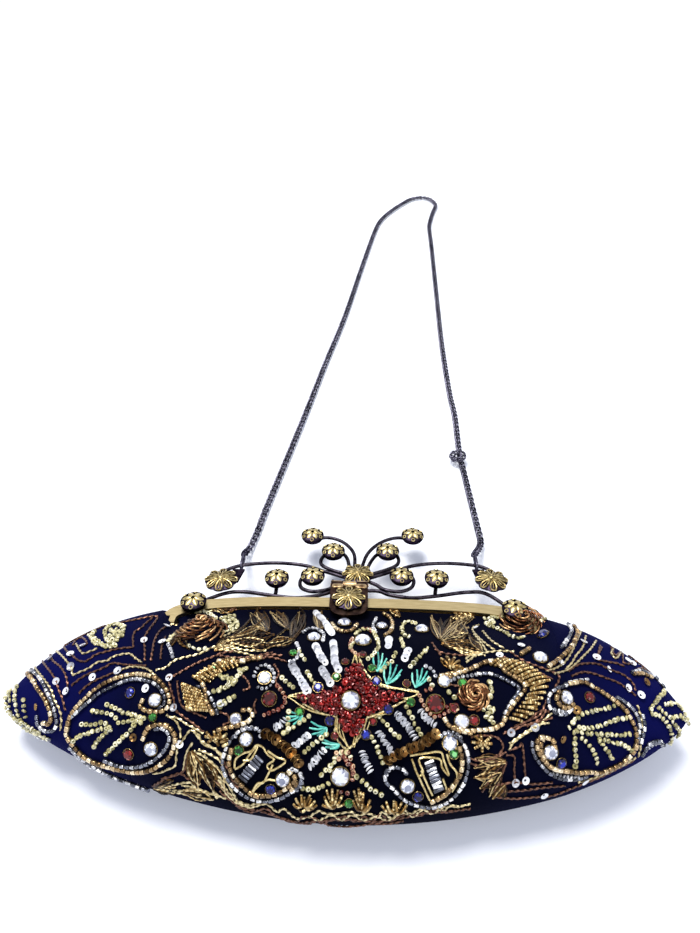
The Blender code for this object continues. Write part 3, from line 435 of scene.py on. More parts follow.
def velvet():
    """Silk velvet: the pile swallows light face on and shines a little at the edges. Its colour is painted shade,
    nearly black, in the middle, and painted light, blue, towards the pointed ends."""
    made = finish_of(
        "navy silk velvet", ("#02030e", "#04061e", "#080b42"), 0.0, 0.9, 0.0012, 0.0001,
        Specular_IOR_Level=0.03, Sheen_Weight=0.05, Sheen_Roughness=0.35, Sheen_Tint=linear("#2a34a0"),
    )
    tree = made.node_tree
    parts = add(tree, "ShaderNodeSeparateXYZ", {}, n0=add(tree, "ShaderNodeTexCoord", {}).outputs["Object"])
    reach = maths(tree, "ABSOLUTE", n0=parts.outputs["X"])
    # Painted light and shade: the colour goes from nearly black in the middle to blue towards the pointed ends
    ends = add(tree, "ShaderNodeMapRange", {}, Value=reach, n1=VELVET_SHADE_REACH, n2=VELVET_LIGHT_REACH).outputs[0]
    ramp = next(node for node in tree.nodes if node.type == "VALTORGB")
    patches = ramp.inputs["Fac"].links[0].from_socket
    tree.links.new(mixed(tree, VELVET_PATCHES, ends, patches), ramp.inputs["Fac"])
    return made


def satin():
    """Duchess satin: long floats of smooth thread, so a soft shine that runs along the weft."""
    return finish_of("navy duchess satin", ("#04051c", "#080a32"), 0.0, 0.4, 0.0006, 0.00003, 0.0, (0.25, 3, 3),
                     Specular_IOR_Level=0.25, Anisotropic=0.4)


def lining_satin():
    """Thin lining satin, duller than the outside."""
    return finish_of("thin navy lining satin", ("#0c0e3c", "#151a4c"), 0.0, 0.5, 0.0005, 0.00003, 0.0, (0.3, 3, 3))


def paper_cord():
    """Twisted brown paper, dull and soft."""
    return finish_of("twisted paper cord", ("#8a7a58", "#b9a67d"), 0.0, 0.9, 0.0006, 0.00005)


def pale_brass():
    """Pale brass sheet, brushed along the bar: a soft streaky shine."""
    return finish_of("brushed pale brass sheet", ("#98865e", "#c9b88e"), 1.0, 0.36, 0.0005, 0.00001, 0.0, (0.08, 4, 4))


def rubbed_brass():
    """Antique brass rubbed back to a reddish bright metal where hands reach it."""
    return finish_of("rubbed red brass", ("#5c4430", "#dcbf92"), 1.0, 0.28, 0.003, 0.00002)


def cap_brass():
    """Stamped brass cap, dipped dark and buffed: pale gold with brown in the hollows."""
    return finish_of("buffed stamped brass cap", ("#8a774a", "#dccd98"), 1.0, 0.3, 0.0016, 0.00004)


def daisy_brass():
    """Stamped brass daisy, tarnished brown and rubbed pale on the high places."""
    return finish_of("tarnished stamped brass daisy", ("#54431f", "#cbb884"), 1.0, 0.34, 0.0013, 0.00004)


def blackened(name, colours, roughness, grain, bump, by_piece=0.0):
    """Blackened brass, which stays dark at the edges of a shape, where bare metal turns white."""
    return finish_of(name, colours, 1.0, roughness, grain, bump, by_piece, Specular_Tint=linear("#4a4450"))


def wire_brass():
    """Brass wire, blackened and rubbed: nearly black with warm high spots."""
    return blackened("blackened brass wire", ("#14121c", "#46414a"), 0.34, 0.0025, 0.00004)


def cup_brass():
    """Spun brass cup, blackened."""
    return blackened("blackened spun brass cup", ("#0e0c18", "#342c3a"), 0.35, 0.002, 0.00003)


def chain_brass():
    """Stamped curb chain in dark antique brass, lighter where it is rubbed."""
    return blackened("stamped curb chain brass", ("#1e1e2a", "#747284"), 0.33, 0.0018, 0.00003, 0.6)


def clasp_brass():
    """Cast brass flap, darkened brown, with a soft polish."""
    return blackened("antique brass clasp", ("#120c12", "#54423a"), 0.3, 0.003, 0.00002)


def glass(name, colours, roughness=0.12, varied=0.85, metallic=0.0):
    """Pressed or drawn glass with a lining or foil behind it, so it shines back rather than showing through."""
    return finish_of(name, colours, metallic, roughness, 0.002, 0.0, varied,
                     IOR=1.52, Coat_Weight=0.4, Coat_Roughness=0.05)


def glass_with_painted_facets(name, colours, metallic):
    """A foiled glass stone, cut and polished: sharp bright facets, each painted a random one of its colours as a
    painted reflection.
    """
    # Each facet, a piece of its own, takes a random colour: painted reflections of light and dark surroundings
    return finish_of(name, colours, metallic, 0.08, 0.002, 0.0, 0.92, IOR=1.55, Coat_Weight=0.6, Coat_Roughness=0.03)


def metal_thread(name, colours, roughness=0.32, varied=0.4):
    """Metal thread or coiled wire, laid on the cloth."""
    return finish_of(name, colours, 0.85, roughness, 0.0012, 0.00005, varied)


def silk_floss():
    """Turquoise silk floss, loosely twisted: a soft bright shine."""
    return finish_of("turquoise silk floss", ("#0c5a5c", "#43b9a8", "#a5f2dc"), 0.0, 0.35, 0.0015, 0.0, 0.6,
                     Sheen_Weight=0.3)


# ---------------------------------------------------------------- settings that a user would change
def length(name, text, default):
    return FloatProperty(name=name, description=text, default=default, unit="LENGTH")


class BagSettings(bpy.types.PropertyGroup):
    link_pitch: length("Link pitch", "Step from one chain link to the next", 0.0036)
    link_wire: length("Link wire", "Radius of a chain link's wire", 0.00055)
    seed_bead: length("Seed bead", "Width of a seed bead", 0.0019)
    bugle: length("Bugle", "Length of a bugle bead", 0.0019)
    couched_cord: length("Couched cord", "Radius of the couched cords", 0.0005)
    floor_colour: FloatVectorProperty(
        name="Floor", description="Colour of the table", default=linear("#eef1f8")[:3], subtype="COLOR"
    )


def settings():
    return bpy.context.scene.evening_bag


# ---------------------------------------------------------------- stage
WORLD_LIGHT, DOME_COLOUR, WALL_COLOUR = 0.62, "#e4ebff", "#fdfeff"
SUN_LIGHT, SUN_ANGLE, SUN_WAY, SUN_COLOUR = 1.9, math.radians(22), (0.18, -0.42, -1.0), (1.0, 0.97, 0.92)
FLOOR_GLOW, FLOOR_REACH, FLOOR_ROUGHNESS = 0.08, 3.0, 0.9
SENSOR_WIDTH, CLIP_START = 36, 0.01
# Round softboxes: name, place, what each points at, width, power and colour
LAMPS = (
    ("top_softbox", (-0.25, 0.35, 0.9), (0, 0.02, 0), 0.5, 5.0, (1.0, 0.98, 0.95)),
    ("front_fill", (0.35, -0.7, 0.8), (0, 0.0, 0), 0.4, 3.0, (1.0, 0.99, 0.97)),
)


def seen_rays(tree):
    """One for the rays of the camera, and for those in gloss and glass; nought for the light on the bag."""
    path = add(tree, "ShaderNodeLightPath", {}).outputs
    shone = maths(tree, "MAXIMUM", n0=path["Is Glossy Ray"], n1=path["Is Transmission Ray"])
    return maths(tree, "MAXIMUM", n0=path["Is Camera Ray"], n1=shone)


def placed(name, data, place):
    """An object with this data, linked to the scene."""
    made = bpy.data.objects.new(name, data)
    made.matrix_world = place
    bpy.context.scene.collection.objects.link(made)
    return made


def lit(name, kind, energy, colour, way, spot=(0, 0, 0)):
    light = bpy.data.lights.new(name, kind)
    light.energy, light.color = energy, colour
    placed(name, light, Matrix.Translation(spot) @ Vector(way).to_track_quat("-Z", "Y").to_matrix().to_4x4())
    return light


def make_stage():
    scene = bpy.context.scene
    scene.view_settings.view_transform = "Standard"
    data = bpy.data.cameras.new("photo_camera")
    data.sensor_fit, data.sensor_width, data.clip_start = "HORIZONTAL", SENSOR_WIDTH, CLIP_START
    data.lens = data.sensor_width * FOCAL / PHOTO_WIDTH
    scene.camera = placed("photo_camera", data, Matrix.Translation(CAMERA_SPOT + SHIFT) @ AXES.to_4x4())

    world = bpy.data.worlds.new("pale studio")
    scene.world = world
    world.use_nodes = True
    tree = world.node_tree
    dome = tree.nodes["Background"]
    dome.inputs["Color"].default_value = linear(DOME_COLOUR)
    dome.inputs["Strength"].default_value = WORLD_LIGHT
    white = add(tree, "ShaderNodeBackground", {}, Color=linear(WALL_COLOUR), Strength=1.0)
    both = add(tree, "ShaderNodeMixShader", {}, n0=seen_rays(tree), n1=dome.outputs[0], n2=white.outputs[0])
    tree.links.new(both.outputs[0], tree.nodes["World Output"].inputs["Surface"])

    for name, spot, aim, size, power, colour in LAMPS:
        light = lit(name, "AREA", power, colour, Vector(aim) - Vector(spot), spot)
        light.shape, light.size = "DISK", size
    lit("overhead_light", "SUN", SUN_LIGHT, SUN_COLOUR, SUN_WAY).angle = SUN_ANGLE

    made = bpy.data.materials.new("white table top")
    made.use_nodes = True
    tree = made.node_tree
    shader = tree.nodes["Principled BSDF"]
    for name in ("Base Color", "Emission Color"):
        shader.inputs[name].default_value = (*settings().floor_colour, 1)
    shader.inputs["Roughness"].default_value = FLOOR_ROUGHNESS
    glow = maths(tree, "MULTIPLY", n0=seen_rays(tree), n1=FLOOR_GLOW)
    tree.links.new(glow, shader.inputs["Emission Strength"])
    mesh = bpy.data.meshes.new("table_top")
    corners = [(x * FLOOR_REACH, y * FLOOR_REACH, 0) for x, y in ((-1, -1), (1, -1), (1, 1), (-1, 1))]
    mesh.from_pydata(corners, [], [(0, 1, 2, 3)])
    mesh.materials.append(made)
    placed("table_top", mesh, Matrix())


# ---------------------------------------------------------------- chain
WING_HALF, WING_RISE, WING_TURN, WING_LEAN = 0.070, 0.055, math.radians(1.8), 0.10
HUB_X, HUB_U, HUB_R, WIRE_R = 0.0014, 0.0200, 0.0062, 0.0009
RING_SHARES, RING_LENGTH, RING_WIRE_R, RING_STEPS = (0.83, 0.527), 0.0105, 0.00065, 12
LINK_HALF, LINK_WIDE, LINK_TWIST, LINK_STEPS, LINK_SIDES, LINK_ROCK = 0.0027, 0.00132, 0.00058, 18, 7, 0.10
# Where the chain has kinked and a few links lie doubled over it
KNOT_SPOT, KNOT_R, KNOT_BACK, KNOT_FLAT, KNOT_LINKS = (0.0605, 0.1345), 0.0032, 0.6, 0.9, 7
KNOT_LIFT, KNOT_SLOPE = 0.0026, 0.0004
CHAIN_REST = 0.0019
CHAIN_START, CHAIN_END = [(-0.0572, 0.0580, 0.0060), (-0.0560, 0.0640, 0.0024)], [(0.0660, 0.0700, 0.0028)]
# The chain's way over the table, between those two
CHAIN_ROUTE = (
    (-0.0535, 0.0751), (-0.0505, 0.0925), (-0.0429, 0.1310), (-0.0343, 0.1750), (-0.0249, 0.2260),
    (-0.0132, 0.2860), (-0.0019, 0.3580), (0.0085, 0.4210), (0.0146, 0.4450), (0.0250, 0.4650),
    (0.0363, 0.4810), (0.0434, 0.4890), (0.0527, 0.4930), (0.0596, 0.4906), (0.0641, 0.4840),
    (0.0657, 0.4750), (0.0621, 0.4600), (0.0584, 0.4400), (0.0574, 0.4280), (0.0576, 0.3950),
    (0.0573, 0.3160), (0.0572, 0.2520), (0.0587, 0.1980), (0.0604, 0.1740), (0.0606, 0.1400),
    (0.0622, 0.1200), (0.0638, 0.1016), (0.0654, 0.0840),
)


def wing_spot(side, across, out):
    """A place of the wire butterfly in the frame's plane: x and u."""
    x, u = side * across * WING_HALF, out * WING_RISE - HUB_U
    x += WING_LEAN * u
    cos, sin = math.cos(WING_TURN), math.sin(WING_TURN)
    return HUB_X + x * cos - u * sin, HUB_U + x * sin + u * cos


def ring_tip(side):
    """Where the chain meets the end ring."""
    x, u = wing_spot(side, *RING_SHARES)
    return plane_point(x, u + RING_LENGTH - WIRE_R - FIT - RING_WIRE_R, WIRE_W)


def chain_line(pitch):
    way = [np.array(point) for point in CHAIN_START + [(x, y, CHAIN_REST) for x, y in CHAIN_ROUTE] + CHAIN_END]
    for side, at in ((1, len(way)), (-1, 0)):
        tip = ring_tip(side)
        out = way[min(at, len(way) - 1)] - tip
        way.insert(at, tip + out / np.linalg.norm(out) * (RING_WIRE_R + FIT))
    return smooth_line(way, pitch)


def link_template(wire):
    """A curb link: an oval of wire, twisted so that it lies flat against its neighbours."""
    turns = full_turn(LINK_STEPS)
    core = np.stack([LINK_HALF * np.cos(turns), LINK_WIDE * np.sin(turns), LINK_TWIST * np.sin(2 * turns)], axis=1)
    ahead = unit(np.roll(core, -1, axis=0) - np.roll(core, 1, axis=0))
    beside = unit(np.cross(ahead, np.array([0, 0, 1.0])))
    above = np.cross(beside, ahead)
    roll = full_turn(LINK_SIDES)[None, :, None]
    tube = core[:, None, :] + wire * (np.cos(roll) * beside[:, None, :] + np.sin(roll) * above[:, None, :])
    return tube.reshape(-1, 3), [(a, d, c, b) for a, b, c, d in hoop_faces(LINK_STEPS, LINK_SIDES)]


def chain_knot(line, template):
    at = np.argmin(np.hypot(line[:, 0] - KNOT_SPOT[0], line[:, 1] - KNOT_SPOT[1]))
    turn = full_turn(KNOT_LINKS)
    cos, sin = np.cos(turn), np.sin(turn)
    ring = [KNOT_R * (cos - KNOT_BACK), KNOT_R * KNOT_FLAT * sin, KNOT_LIFT + KNOT_SLOPE * cos]
    ways, up = np.stack([-sin, cos, 0 * turn], axis=1), upright(KNOT_LINKS)
    turns = np.stack([ways, np.cross(up, ways), up], axis=-1)
    knot = piece("chain_knot", *stamp(template, line[at] + np.stack(ring, axis=1), turns), chain_brass())
    return settle(knot, "bag", "antique brass chain")


def chain_ring(side, hand):
    """A long ring that hangs from the wing's wire and holds the chain's last link."""
    x, u = wing_spot(side, *RING_SHARES)
    r = WIRE_R + FIT + RING_WIRE_R
    bow = np.linspace(0, math.pi, RING_STEPS)
    across = np.full(RING_STEPS, x)
    near = plane_point(across, u - r * np.sin(bow), WIRE_W + r * np.cos(bow))
    far = plane_point(across, u + RING_LENGTH - 2 * r + r * np.sin(bow), WIRE_W - r * np.cos(bow))
    loop = even_line(np.concatenate([near, far, near[:1]]), WIRE_STEP)
    verts, faces = swept(loop, np.broadcast_to([1.0, 0, 0], loop.shape), RING_WIRE_R, 8, caps=False)
    ring = piece(f"{hand}_chain_ring", verts, faces, chain_brass())
    return settle(ring, "bag", "antique brass chain", f"{hand}_end_ring")


def make_chain():
    line = chain_line(settings().link_pitch)
    along, across, away = np.moveaxis(axes_along(line, upright(len(line))), -1, 0)
    rock = np.random.default_rng(11).normal(0, LINK_ROCK, len(line))[:, None]
    rocked = across * np.cos(rock) + away * np.sin(rock)
    template = link_template(settings().link_wire)
    verts, faces = stamp(template, line, np.stack([along, rocked, np.cross(along, rocked)], axis=-1))
    chain = piece("curb_chain_strap", verts, faces, chain_brass())
    settle(chain, "bag", "antique brass chain", "chain_strap")
    rings = [chain_knot(line, template), chain_ring(-1, "left"), chain_ring(1, "right")]
    round(float(lengths_along(line)[-1]), 3)


# ---------------------------------------------------------------- cloth
HINGE = plane_point(0.0, -ARCH_RISE, 0.0)
HINGE_CUT_X, HINGE_CUT_R = 0.0048, 0.0042
SEAM_TUCK, SEAM_TUCK_SHARE, SHEET_REACH, CLOTH_THICK = 0.0006, 0.006, 0.9985, 0.001
LINING_FLAT, LINING_THICK, LINING_DEPTH, LINING_SAG, LINING_EDGE = (0.164, 0.098), 0.0005, 0.0012, 0.0028, 0.12
NORMAL_STEP = 2e-4


def skin_sheet(name, xs, rows, inset, thick, finish, body, nodes, slot):
    """A cloth layer over part of the bag: rows holds q at each x and each row, and inset its depth in the bag."""
    rows = np.broadcast_to(rows, (len(xs), np.shape(rows)[-1]))
    across = xs[:, None]
    along = skin(across + NORMAL_STEP, rows) - skin(across - NORMAL_STEP, rows)
    up = skin(across, np.minimum(rows + NORMAL_STEP, 1)) - skin(across, np.maximum(rows - NORMAL_STEP, -1))
    points = skin(across, rows) - unit(np.cross(along, up)) * np.broadcast_to(inset, rows.shape)[..., None]
    verts, faces = ring_mesh(points, closed=False, caps=False)
    faces = [tuple(reversed(face)) for face in faces]
    x, y, z = verts[np.array(faces)].mean(axis=1).T
    foot_off = np.abs(np.abs(x) - (ARCH_HALF - BAR_HEIGHT / 2))
    at_hinge = (foot_off < HINGE_CUT_X) & (np.hypot(y - HINGE[1], z - HINGE[2]) < HINGE_CUT_R)
    sheet = piece(name, verts, [face for face, cut in zip(faces, at_hinge) if not cut], finish)
    step = sheet.modifiers.new("cloth", "SOLIDIFY")
    step.thickness, step.offset = thick, -1
    return settle(sheet, body, slot, *nodes)


def make_cloth():
    middle = np.linspace(-ARCH_HALF, ARCH_HALF, 150)
    right = ARCH_HALF + (HALF_LENGTH * SHEET_REACH - ARCH_HALF) * np.sin(np.linspace(0, math.pi / 2, 64))
    left = -right[::-1]
    whole = np.concatenate([left, middle[1:-1], right])
    for name, xs, body, nodes in (
        ("front_cloth", middle, "bend", ("front_panel", "front_wadding")),
        ("left_front_cloth", left, "bag", ()),
        ("right_front_cloth", right, "bag", ()),
    ):
        rows = np.stack([fine_rows(q, 1.0, 110) for q in seam_spot(xs)])
        tucked = SEAM_TUCK * np.exp((seam_spot(xs)[:, None] - rows) / SEAM_TUCK_SHARE)
        skin_sheet(name, xs, rows, tucked, CLOTH_THICK, velvet(), body, nodes, "beaded navy velvet")
    rows = np.stack([fine_rows(-1.0, q, 100) for q in seam_spot(whole)])
    tucked = SEAM_TUCK * np.exp((rows - seam_spot(whole)[:, None]) / SEAM_TUCK_SHARE)
    back = ("back_panel", "back_wadding")
    skin_sheet("back_cloth", whole, rows, tucked, CLOTH_THICK, satin(), "bag", back, "navy satin")
    lined = np.linspace(-LINING_FLAT[0] / 2, LINING_FLAT[0] / 2, 90)
    for name, rows, body, node, bar in (
        ("front_lining_cloth", np.linspace(0.10, 0.997, 50), "bend", "front_lining", "front_frame_bar"),
        ("back_lining_cloth", np.linspace(-0.997, 0.0, 50), "bag", "back_lining", "rear_frame_bar"),
    ):
        depth = LINING_DEPTH + LINING_SAG * np.clip((1 - np.abs(rows)) / LINING_EDGE, 0, 1)
        sheet = skin_sheet(name, lined, rows, depth, LINING_THICK, lining_satin(), body, [node], "navy lining satin")


# ---------------------------------------------------------------- frame, clasp and wires
AWAY = plane_point(0.0, 0.0, 1.0) - plane_point(0.0, 0.0, 0.0)
WIRE_STEP, WIRE_SIDES, SEAT_W = 0.0008, 12, WIRE_W + WIRE_R
SHOULDER_CAP_INSET = 0.0125
CENTRE_KNUCKLE, FLAP_WIDTH, BARREL_U, BARREL_W, BARREL_R, SLEEVE_R = 0.0060, 0.0172, 0.0085, 0.0040, 0.0019, 0.00215
CLASP_X, CLASP_FLOWER_U, FLAP_CLEARANCE, FLAP_THICK = -0.0022, -0.0041, 0.0016, 0.0010
FLAP_TOP = FIT / 2 + BAR_THICK + FLAP_CLEARANCE + FLAP_THICK
PLATE_X, PLATE_HALF, PLATE_U, PLATE_RISE, PLATE_CORNER = 0.0054, 0.0026, 0.0049, 0.0014, 0.5
# A plate's outlines from the flap upward: share of its width, and height above the flap
PLATE_STEPS = ((1.0, -0.0002), (1.0, 0.0003), (0.9, 0.0006), (0.7, 0.0007))
BASE_HALF, BASE_WIRE_U, WIRE_FOOT_SHARE, HUB_SINK = 0.0065, 0.0108, 0.56, 0.0004
# Half width, petals and cup depth of the stamped caps
SMALL_CAP, END_CAP, BOSS_CAP = (0.0058, 6, 0.0032), (0.0077, 8, 0.0018), (0.0074, 8, 0.0)
# Places on the butterfly, as shares of its half width and of its height above the middle boss
CAP_SHARES = {
    "antenna": (0.369, 0.896), "upper_curl": (0.194, 0.660), "lower_curl": (0.303, 0.313),
    "stem": (0.543, 0.284), "end": (0.914, 0.251),
}
# Each wire: the angle at which it leaves the boss, its way, and the angle at which it comes back to it
WIRE_SHARES = {
    "antenna": (75, [(0.047, 0.69), (0.111, 0.835), (0.194, 0.92), (0.284, 0.945), "antenna"], None),
    "upper_curl": (
        50,
        [(0.089, 0.618), (0.129, 0.7), (0.186, 0.727), (0.25, 0.691), (0.277, 0.609), (0.261, 0.532), (0.186, 0.465)],
        22,
    ),
    "lower_curl": (
        -28,
        [(0.136, 0.264), (0.193, 0.205), (0.293, 0.18), (0.371, 0.229), (0.389, 0.325), (0.354, 0.39), "lower_curl"],
        None,
    ),
    "upper_wing": (
        -2,
        [(0.249, 0.455), (0.399, 0.535), (0.596, 0.565), (0.802, 0.539), (0.918, 0.471), (0.965, 0.36), "end"],
        None,
    ),
}
LOWER_WING_SHARES = [(0.157, 0.185), (0.229, 0.138), (0.373, 0.1), (0.534, 0.123), (0.756, 0.175), (0.887, 0.147)]
STEM_FOOT_SHARES = (0.534, 0.14)


def dress_node(name, finish, bevel=0.0):
    """A CAD node whose shape is right gets its finish, and rounded edges."""
    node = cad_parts[name]
    node.data.materials.clear()
    node.data.materials.append(finish)
    if bevel:
        step = node.modifiers.new("rounded edges", "BEVEL")
        step.width, step.segments, step.limit_method = bevel, 3, "ANGLE"
        step.angle_limit, step.harden_normals = math.radians(40), False


def make_frame():
    for side in ("rear", "front"):
        dress_node(f"{side}_frame_bar", pale_brass(), 0.0006)
        dress_node(f"{side}_frame_cord", paper_cord())
    for hand in ("left", "right"):
        dress_node(f"{hand}_hinge_rivet", pale_brass(), 0.0002)


def plate_ring(x, share, rise):
    """The rounded outline of a small plate on the flap, smaller by share and this far above the flap."""
    cos, sin = np.cos(full_turn(24)), np.sin(full_turn(24))
    across = x + share * PLATE_HALF * np.sign(cos) * np.abs(cos) ** PLATE_CORNER
    u = PLATE_U + share * PLATE_RISE * np.sign(sin) * np.abs(sin) ** PLATE_CORNER
    return plane_point(across, u, FLAP_TOP + rise)


def make_clasp():
    dress_node("clasp_base", rubbed_brass(), 0.0003)
    dress_node("clasp_pin", rubbed_brass())
    dress_node("clasp_flap", clasp_brass(), 0.0004)
    dress_node("catch_stud", pale_brass(), 0.0002)
    low, high = CENTRE_KNUCKLE / 2 + 2 * FIT, FLAP_WIDTH / 2
    profile = [
        (BARREL_R, low), (SLEEVE_R * 0.98, low), (SLEEVE_R, low + FIT),
        (SLEEVE_R, high - FIT), (SLEEVE_R * 0.96, high), (BARREL_R, high),
    ]
    for hand, side in (("left", -1), ("right", 1)):
        dress_node(f"{hand}_chain_tab", cup_brass(), 0.0002)
        verts, faces = turned(profile, 28)
        u, w, x = verts.T
        spots = plane_point(CLASP_X + side * x, BARREL_U + u, BARREL_W + w)
        sleeve = piece(f"{hand}_knuckle_sleeve", spots, faces, rubbed_brass(), math.radians(40))
        settle(sleeve, "clasp", "brushed pale brass")
        rings = [plate_ring(CLASP_X + side * PLATE_X, share, rise) for share, rise in PLATE_STEPS]
        plate = piece(f"{hand}_knuckle_plate", *ring_mesh(rings), rubbed_brass(), math.radians(50))
        settle(plate, "clasp", "brushed pale brass")


def hub_spot(side, degrees):
    """A place just inside the middle boss's rim."""
    turn, reach = math.radians(degrees), HUB_R - HUB_SINK
    return HUB_X + side * reach * math.cos(turn), HUB_U + reach * math.sin(turn)


def wire_piece(name, node, *paths):
    """Bent wire in the frame's plane, along one or more paths of x and u."""
    lines = []
    for path in paths:
        line = smooth_line([(x, u, 0) for x, u in path], WIRE_STEP)
        points = plane_point(line[:, 0], line[:, 1], WIRE_W)
        lines.append(swept(points, np.broadcast_to(AWAY, points.shape), WIRE_R, WIRE_SIDES))
    wire = piece(name, *joined(lines), wire_brass(), math.radians(50))
    settle(wire, "bag", "antique brass wire", node)


def around(points, count, offset=0.0):
    """The same points turned about Z to each of count places."""
    for k in range(count):
        a = 2 * math.pi * (k + offset) / count
        spin = np.array([[math.cos(a), -math.sin(a), 0], [math.sin(a), math.cos(a), 0], [0, 0, 1]])
        yield np.asarray(points) @ spin.T


def small_cap(r, cup):
    """Six leaf-shaped petals on a dark dome with a deep skirt, a hole in the middle and loops at the rim."""
    def top(reach):
        return cup + 0.30 * r * (1 - (reach / r) ** 2)

    skirt = ((0.68, 0.0), (0.84, 0.12), (0.95, 0.45), (1.0, 0.8), (0.985, 1.0))
    shell = [(0.0002, 0.0)] + [(r * share, cup * height) for share, height in skirt]
    shell += [(r * share, top(r * share)) for share in (0.93, 0.8, 0.6, 0.4, 0.22, 0.13)]
    shell += [(r * 0.11, cup), (0.0001, cup)]
    along, over = np.linspace(0, 1, 9)[:, None], np.linspace(-1, 1, 7)[None, :]
    reach = r * (0.15 + 0.68 * along) + 0 * over
    wide = over * r * 0.235 * np.sin(math.pi * (0.06 + 0.94 * along)) ** 0.75
    height = top(np.hypot(reach, wide)) + 0.00045 * (1 - np.abs(over) ** 3) - 0.0001
    leaf, leaf_faces = ring_mesh(np.stack([reach, wide, height], axis=-1), closed=False, caps=False)
    loop, loop_faces = doughnut(r * 0.13, r * 0.045, 14, 6)
    loop = loop @ np.array(Matrix.Rotation(math.radians(38), 3, "Y")).T
    loop = loop + np.array([r * 0.86, 0, top(r * 0.86) + 0.0001])
    pale = [(points, leaf_faces) for points in around(leaf, 6)]
    pale += [(points, loop_faces) for points in around(loop, 6, 0.5)]
    return [turned(shell, 40)], pale


def daisy(r, cup):
    """Eight open petals, each a pale rim round a dark hollow with a rib along it, and a round boss."""
    def top(reach):
        return cup + 0.0010 + 0.20 * r * (1 - (reach / r) ** 2)

    turn = full_turn(96)
    edge = r * (0.90 + 0.10 * np.abs(np.cos(turn * 4)) ** 0.7)
    profile = [(0.0003 / r, 0.0), (0.66, 0.0), (0.74, cup * 0.6), (1.0, cup + 0.0004), (1.0, cup + 0.0009)]
    profile += [(share, top(r * share) - 0.0001) for share in (0.9, 0.7, 0.5, 0.3, 0.1)]
    rings = [
        np.stack([edge * share * np.cos(turn), edge * share * np.sin(turn), np.full(96, height)], axis=1)
        for share, height in profile
    ]
    round_turn = np.linspace(0, 2 * math.pi, 33)
    reach = r * (0.61 + 0.37 * np.cos(round_turn))
    wide = r * 0.225 * np.sin(round_turn) * (0.72 + 0.34 * np.cos(round_turn))
    rib = np.linspace(0.2, 0.86, 9) * r
    pale = []
    for line, wire in (
        (np.stack([reach, wide, top(np.hypot(reach, wide)) + 0.0003], axis=1), 0.00042),
        (np.stack([rib, 0 * rib, top(rib) + 0.0002], axis=1), 0.00024),
    ):
        pale += [swept(points, upright(len(points)), wire, 7) for points in around(line, 8)]
    boss = [(0.23, top(0)), (0.18, top(0) + 0.0006), (0.09, top(0) + 0.0009)]
    boss = [(r * 0.23, cup + 0.0008)] + [(r * share, height) for share, height in boss] + [(0.0001, top(0) + 0.0010)]
    return [ring_mesh(rings)], pale + [turned(boss, 20)]


def standing(verts, place):
    """Points of a shape about its own Z, set on the frame's plane."""
    turn = Vector((0, 0, 1)).rotation_difference(Vector(AWAY)).to_matrix()
    return verts @ np.array(turn).T + np.array(place)


def flower(name, node, place, shape, body):
    """A stamped cap, standing on the frame's plane: dark metal below, and what the buffing wheel reached pale."""
    r, petals, cup = shape
    (dark, pale), metal = (small_cap(r, cup), cap_brass()) if petals == 6 else (daisy(r, cup), daisy_brass())
    verts, faces = joined(dark + pale)
    made = piece(name, standing(verts, place), faces, cup_brass(), math.radians(45))
    made.data.materials.append(metal)
    for face in made.data.polygons[sum(len(some) for _, some in dark) :]:
        face.material_index = 1
    settle(made, body, "antique brass cap", node)


def make_butterfly():
    rim = HUB_R * 0.97
    boss, faces = turned([
        (0.0003, -WIRE_R), (rim, -WIRE_R), (HUB_R, -WIRE_R * 0.6),
        (HUB_R, WIRE_R * 0.6), (rim, WIRE_R), (0.0003, WIRE_R),
    ], 40)
    made = piece("boss", standing(boss, plane_point(HUB_X, HUB_U, WIRE_W)), faces, cup_brass(), math.radians(40))
    settle(made, "bag", "dark brass cup", "centre_boss")
    at_foot = round(WIRE_FOOT_SHARE * ARCH_POINTS)
    foot = [arch_line(inset)[at_foot] for inset in (-FIT - 3 * WIRE_R, -FIT)]
    for side, hand in ((-1, "left"), (1, "right")):
        caps = {kind: wing_spot(side, *shares) for kind, shares in CAP_SHARES.items()}
        for kind, (start, shares, stop) in WIRE_SHARES.items():
            route = [hub_spot(side, start)]
            route += [caps[at] if isinstance(at, str) else wing_spot(side, *at) for at in shares]
            if stop is not None:
                route.append(hub_spot(side, stop))
            wire_piece(f"{hand}_{kind}_wire", f"{hand}_{kind}", route)
        low = [(CLASP_X + side * (BASE_HALF + 2 * FIT), BASE_WIRE_U)]
        low += [wing_spot(side, *at) for at in LOWER_WING_SHARES] + [(side * x, u) for x, u in foot]
        stem = [wing_spot(side, *STEM_FOOT_SHARES), caps["stem"]]
        wire_piece(f"{hand}_lower_wing_wire", f"{hand}_lower_wing", low, stem)
        for kind, (x, u) in caps.items():
            shape = END_CAP if kind == "end" else SMALL_CAP
            flower(f"{hand}_{kind}_cap", f"{hand}_{kind}_flower", plane_point(x, u, SEAT_W), shape, "bag")
        x = side * (ARCH_HALF - SHOULDER_CAP_INSET)
        seat = plane_point(x, arch_height(x, BAR_HEIGHT / 2), FIT / 2 + BAR_THICK)
        flower(f"{hand}_shoulder_cap", f"{hand}_shoulder_flower", seat, SMALL_CAP, "front_half")
    flower("boss_daisy", "centre_flower", plane_point(HUB_X, HUB_U, SEAT_W), BOSS_CAP, "bag")
    flower("clasp_daisy", "clasp_flower", plane_point(CLASP_X, CLASP_FLOWER_U, FLAP_TOP), BOSS_CAP, "clasp")


# ---------------------------------------------------------------- sewn work, as read on the photograph
# Each view is a part of the photograph as it was read: its left and top in the photograph's pixels, and
# how many times it was enlarged. Strokes are given in the enlarged view's pixels, as x and y in turn.
LEFT, MIDDLE, RIGHT = (0, 600, 6.533), (220, 610, 6.272), (450, 600, 6.272)


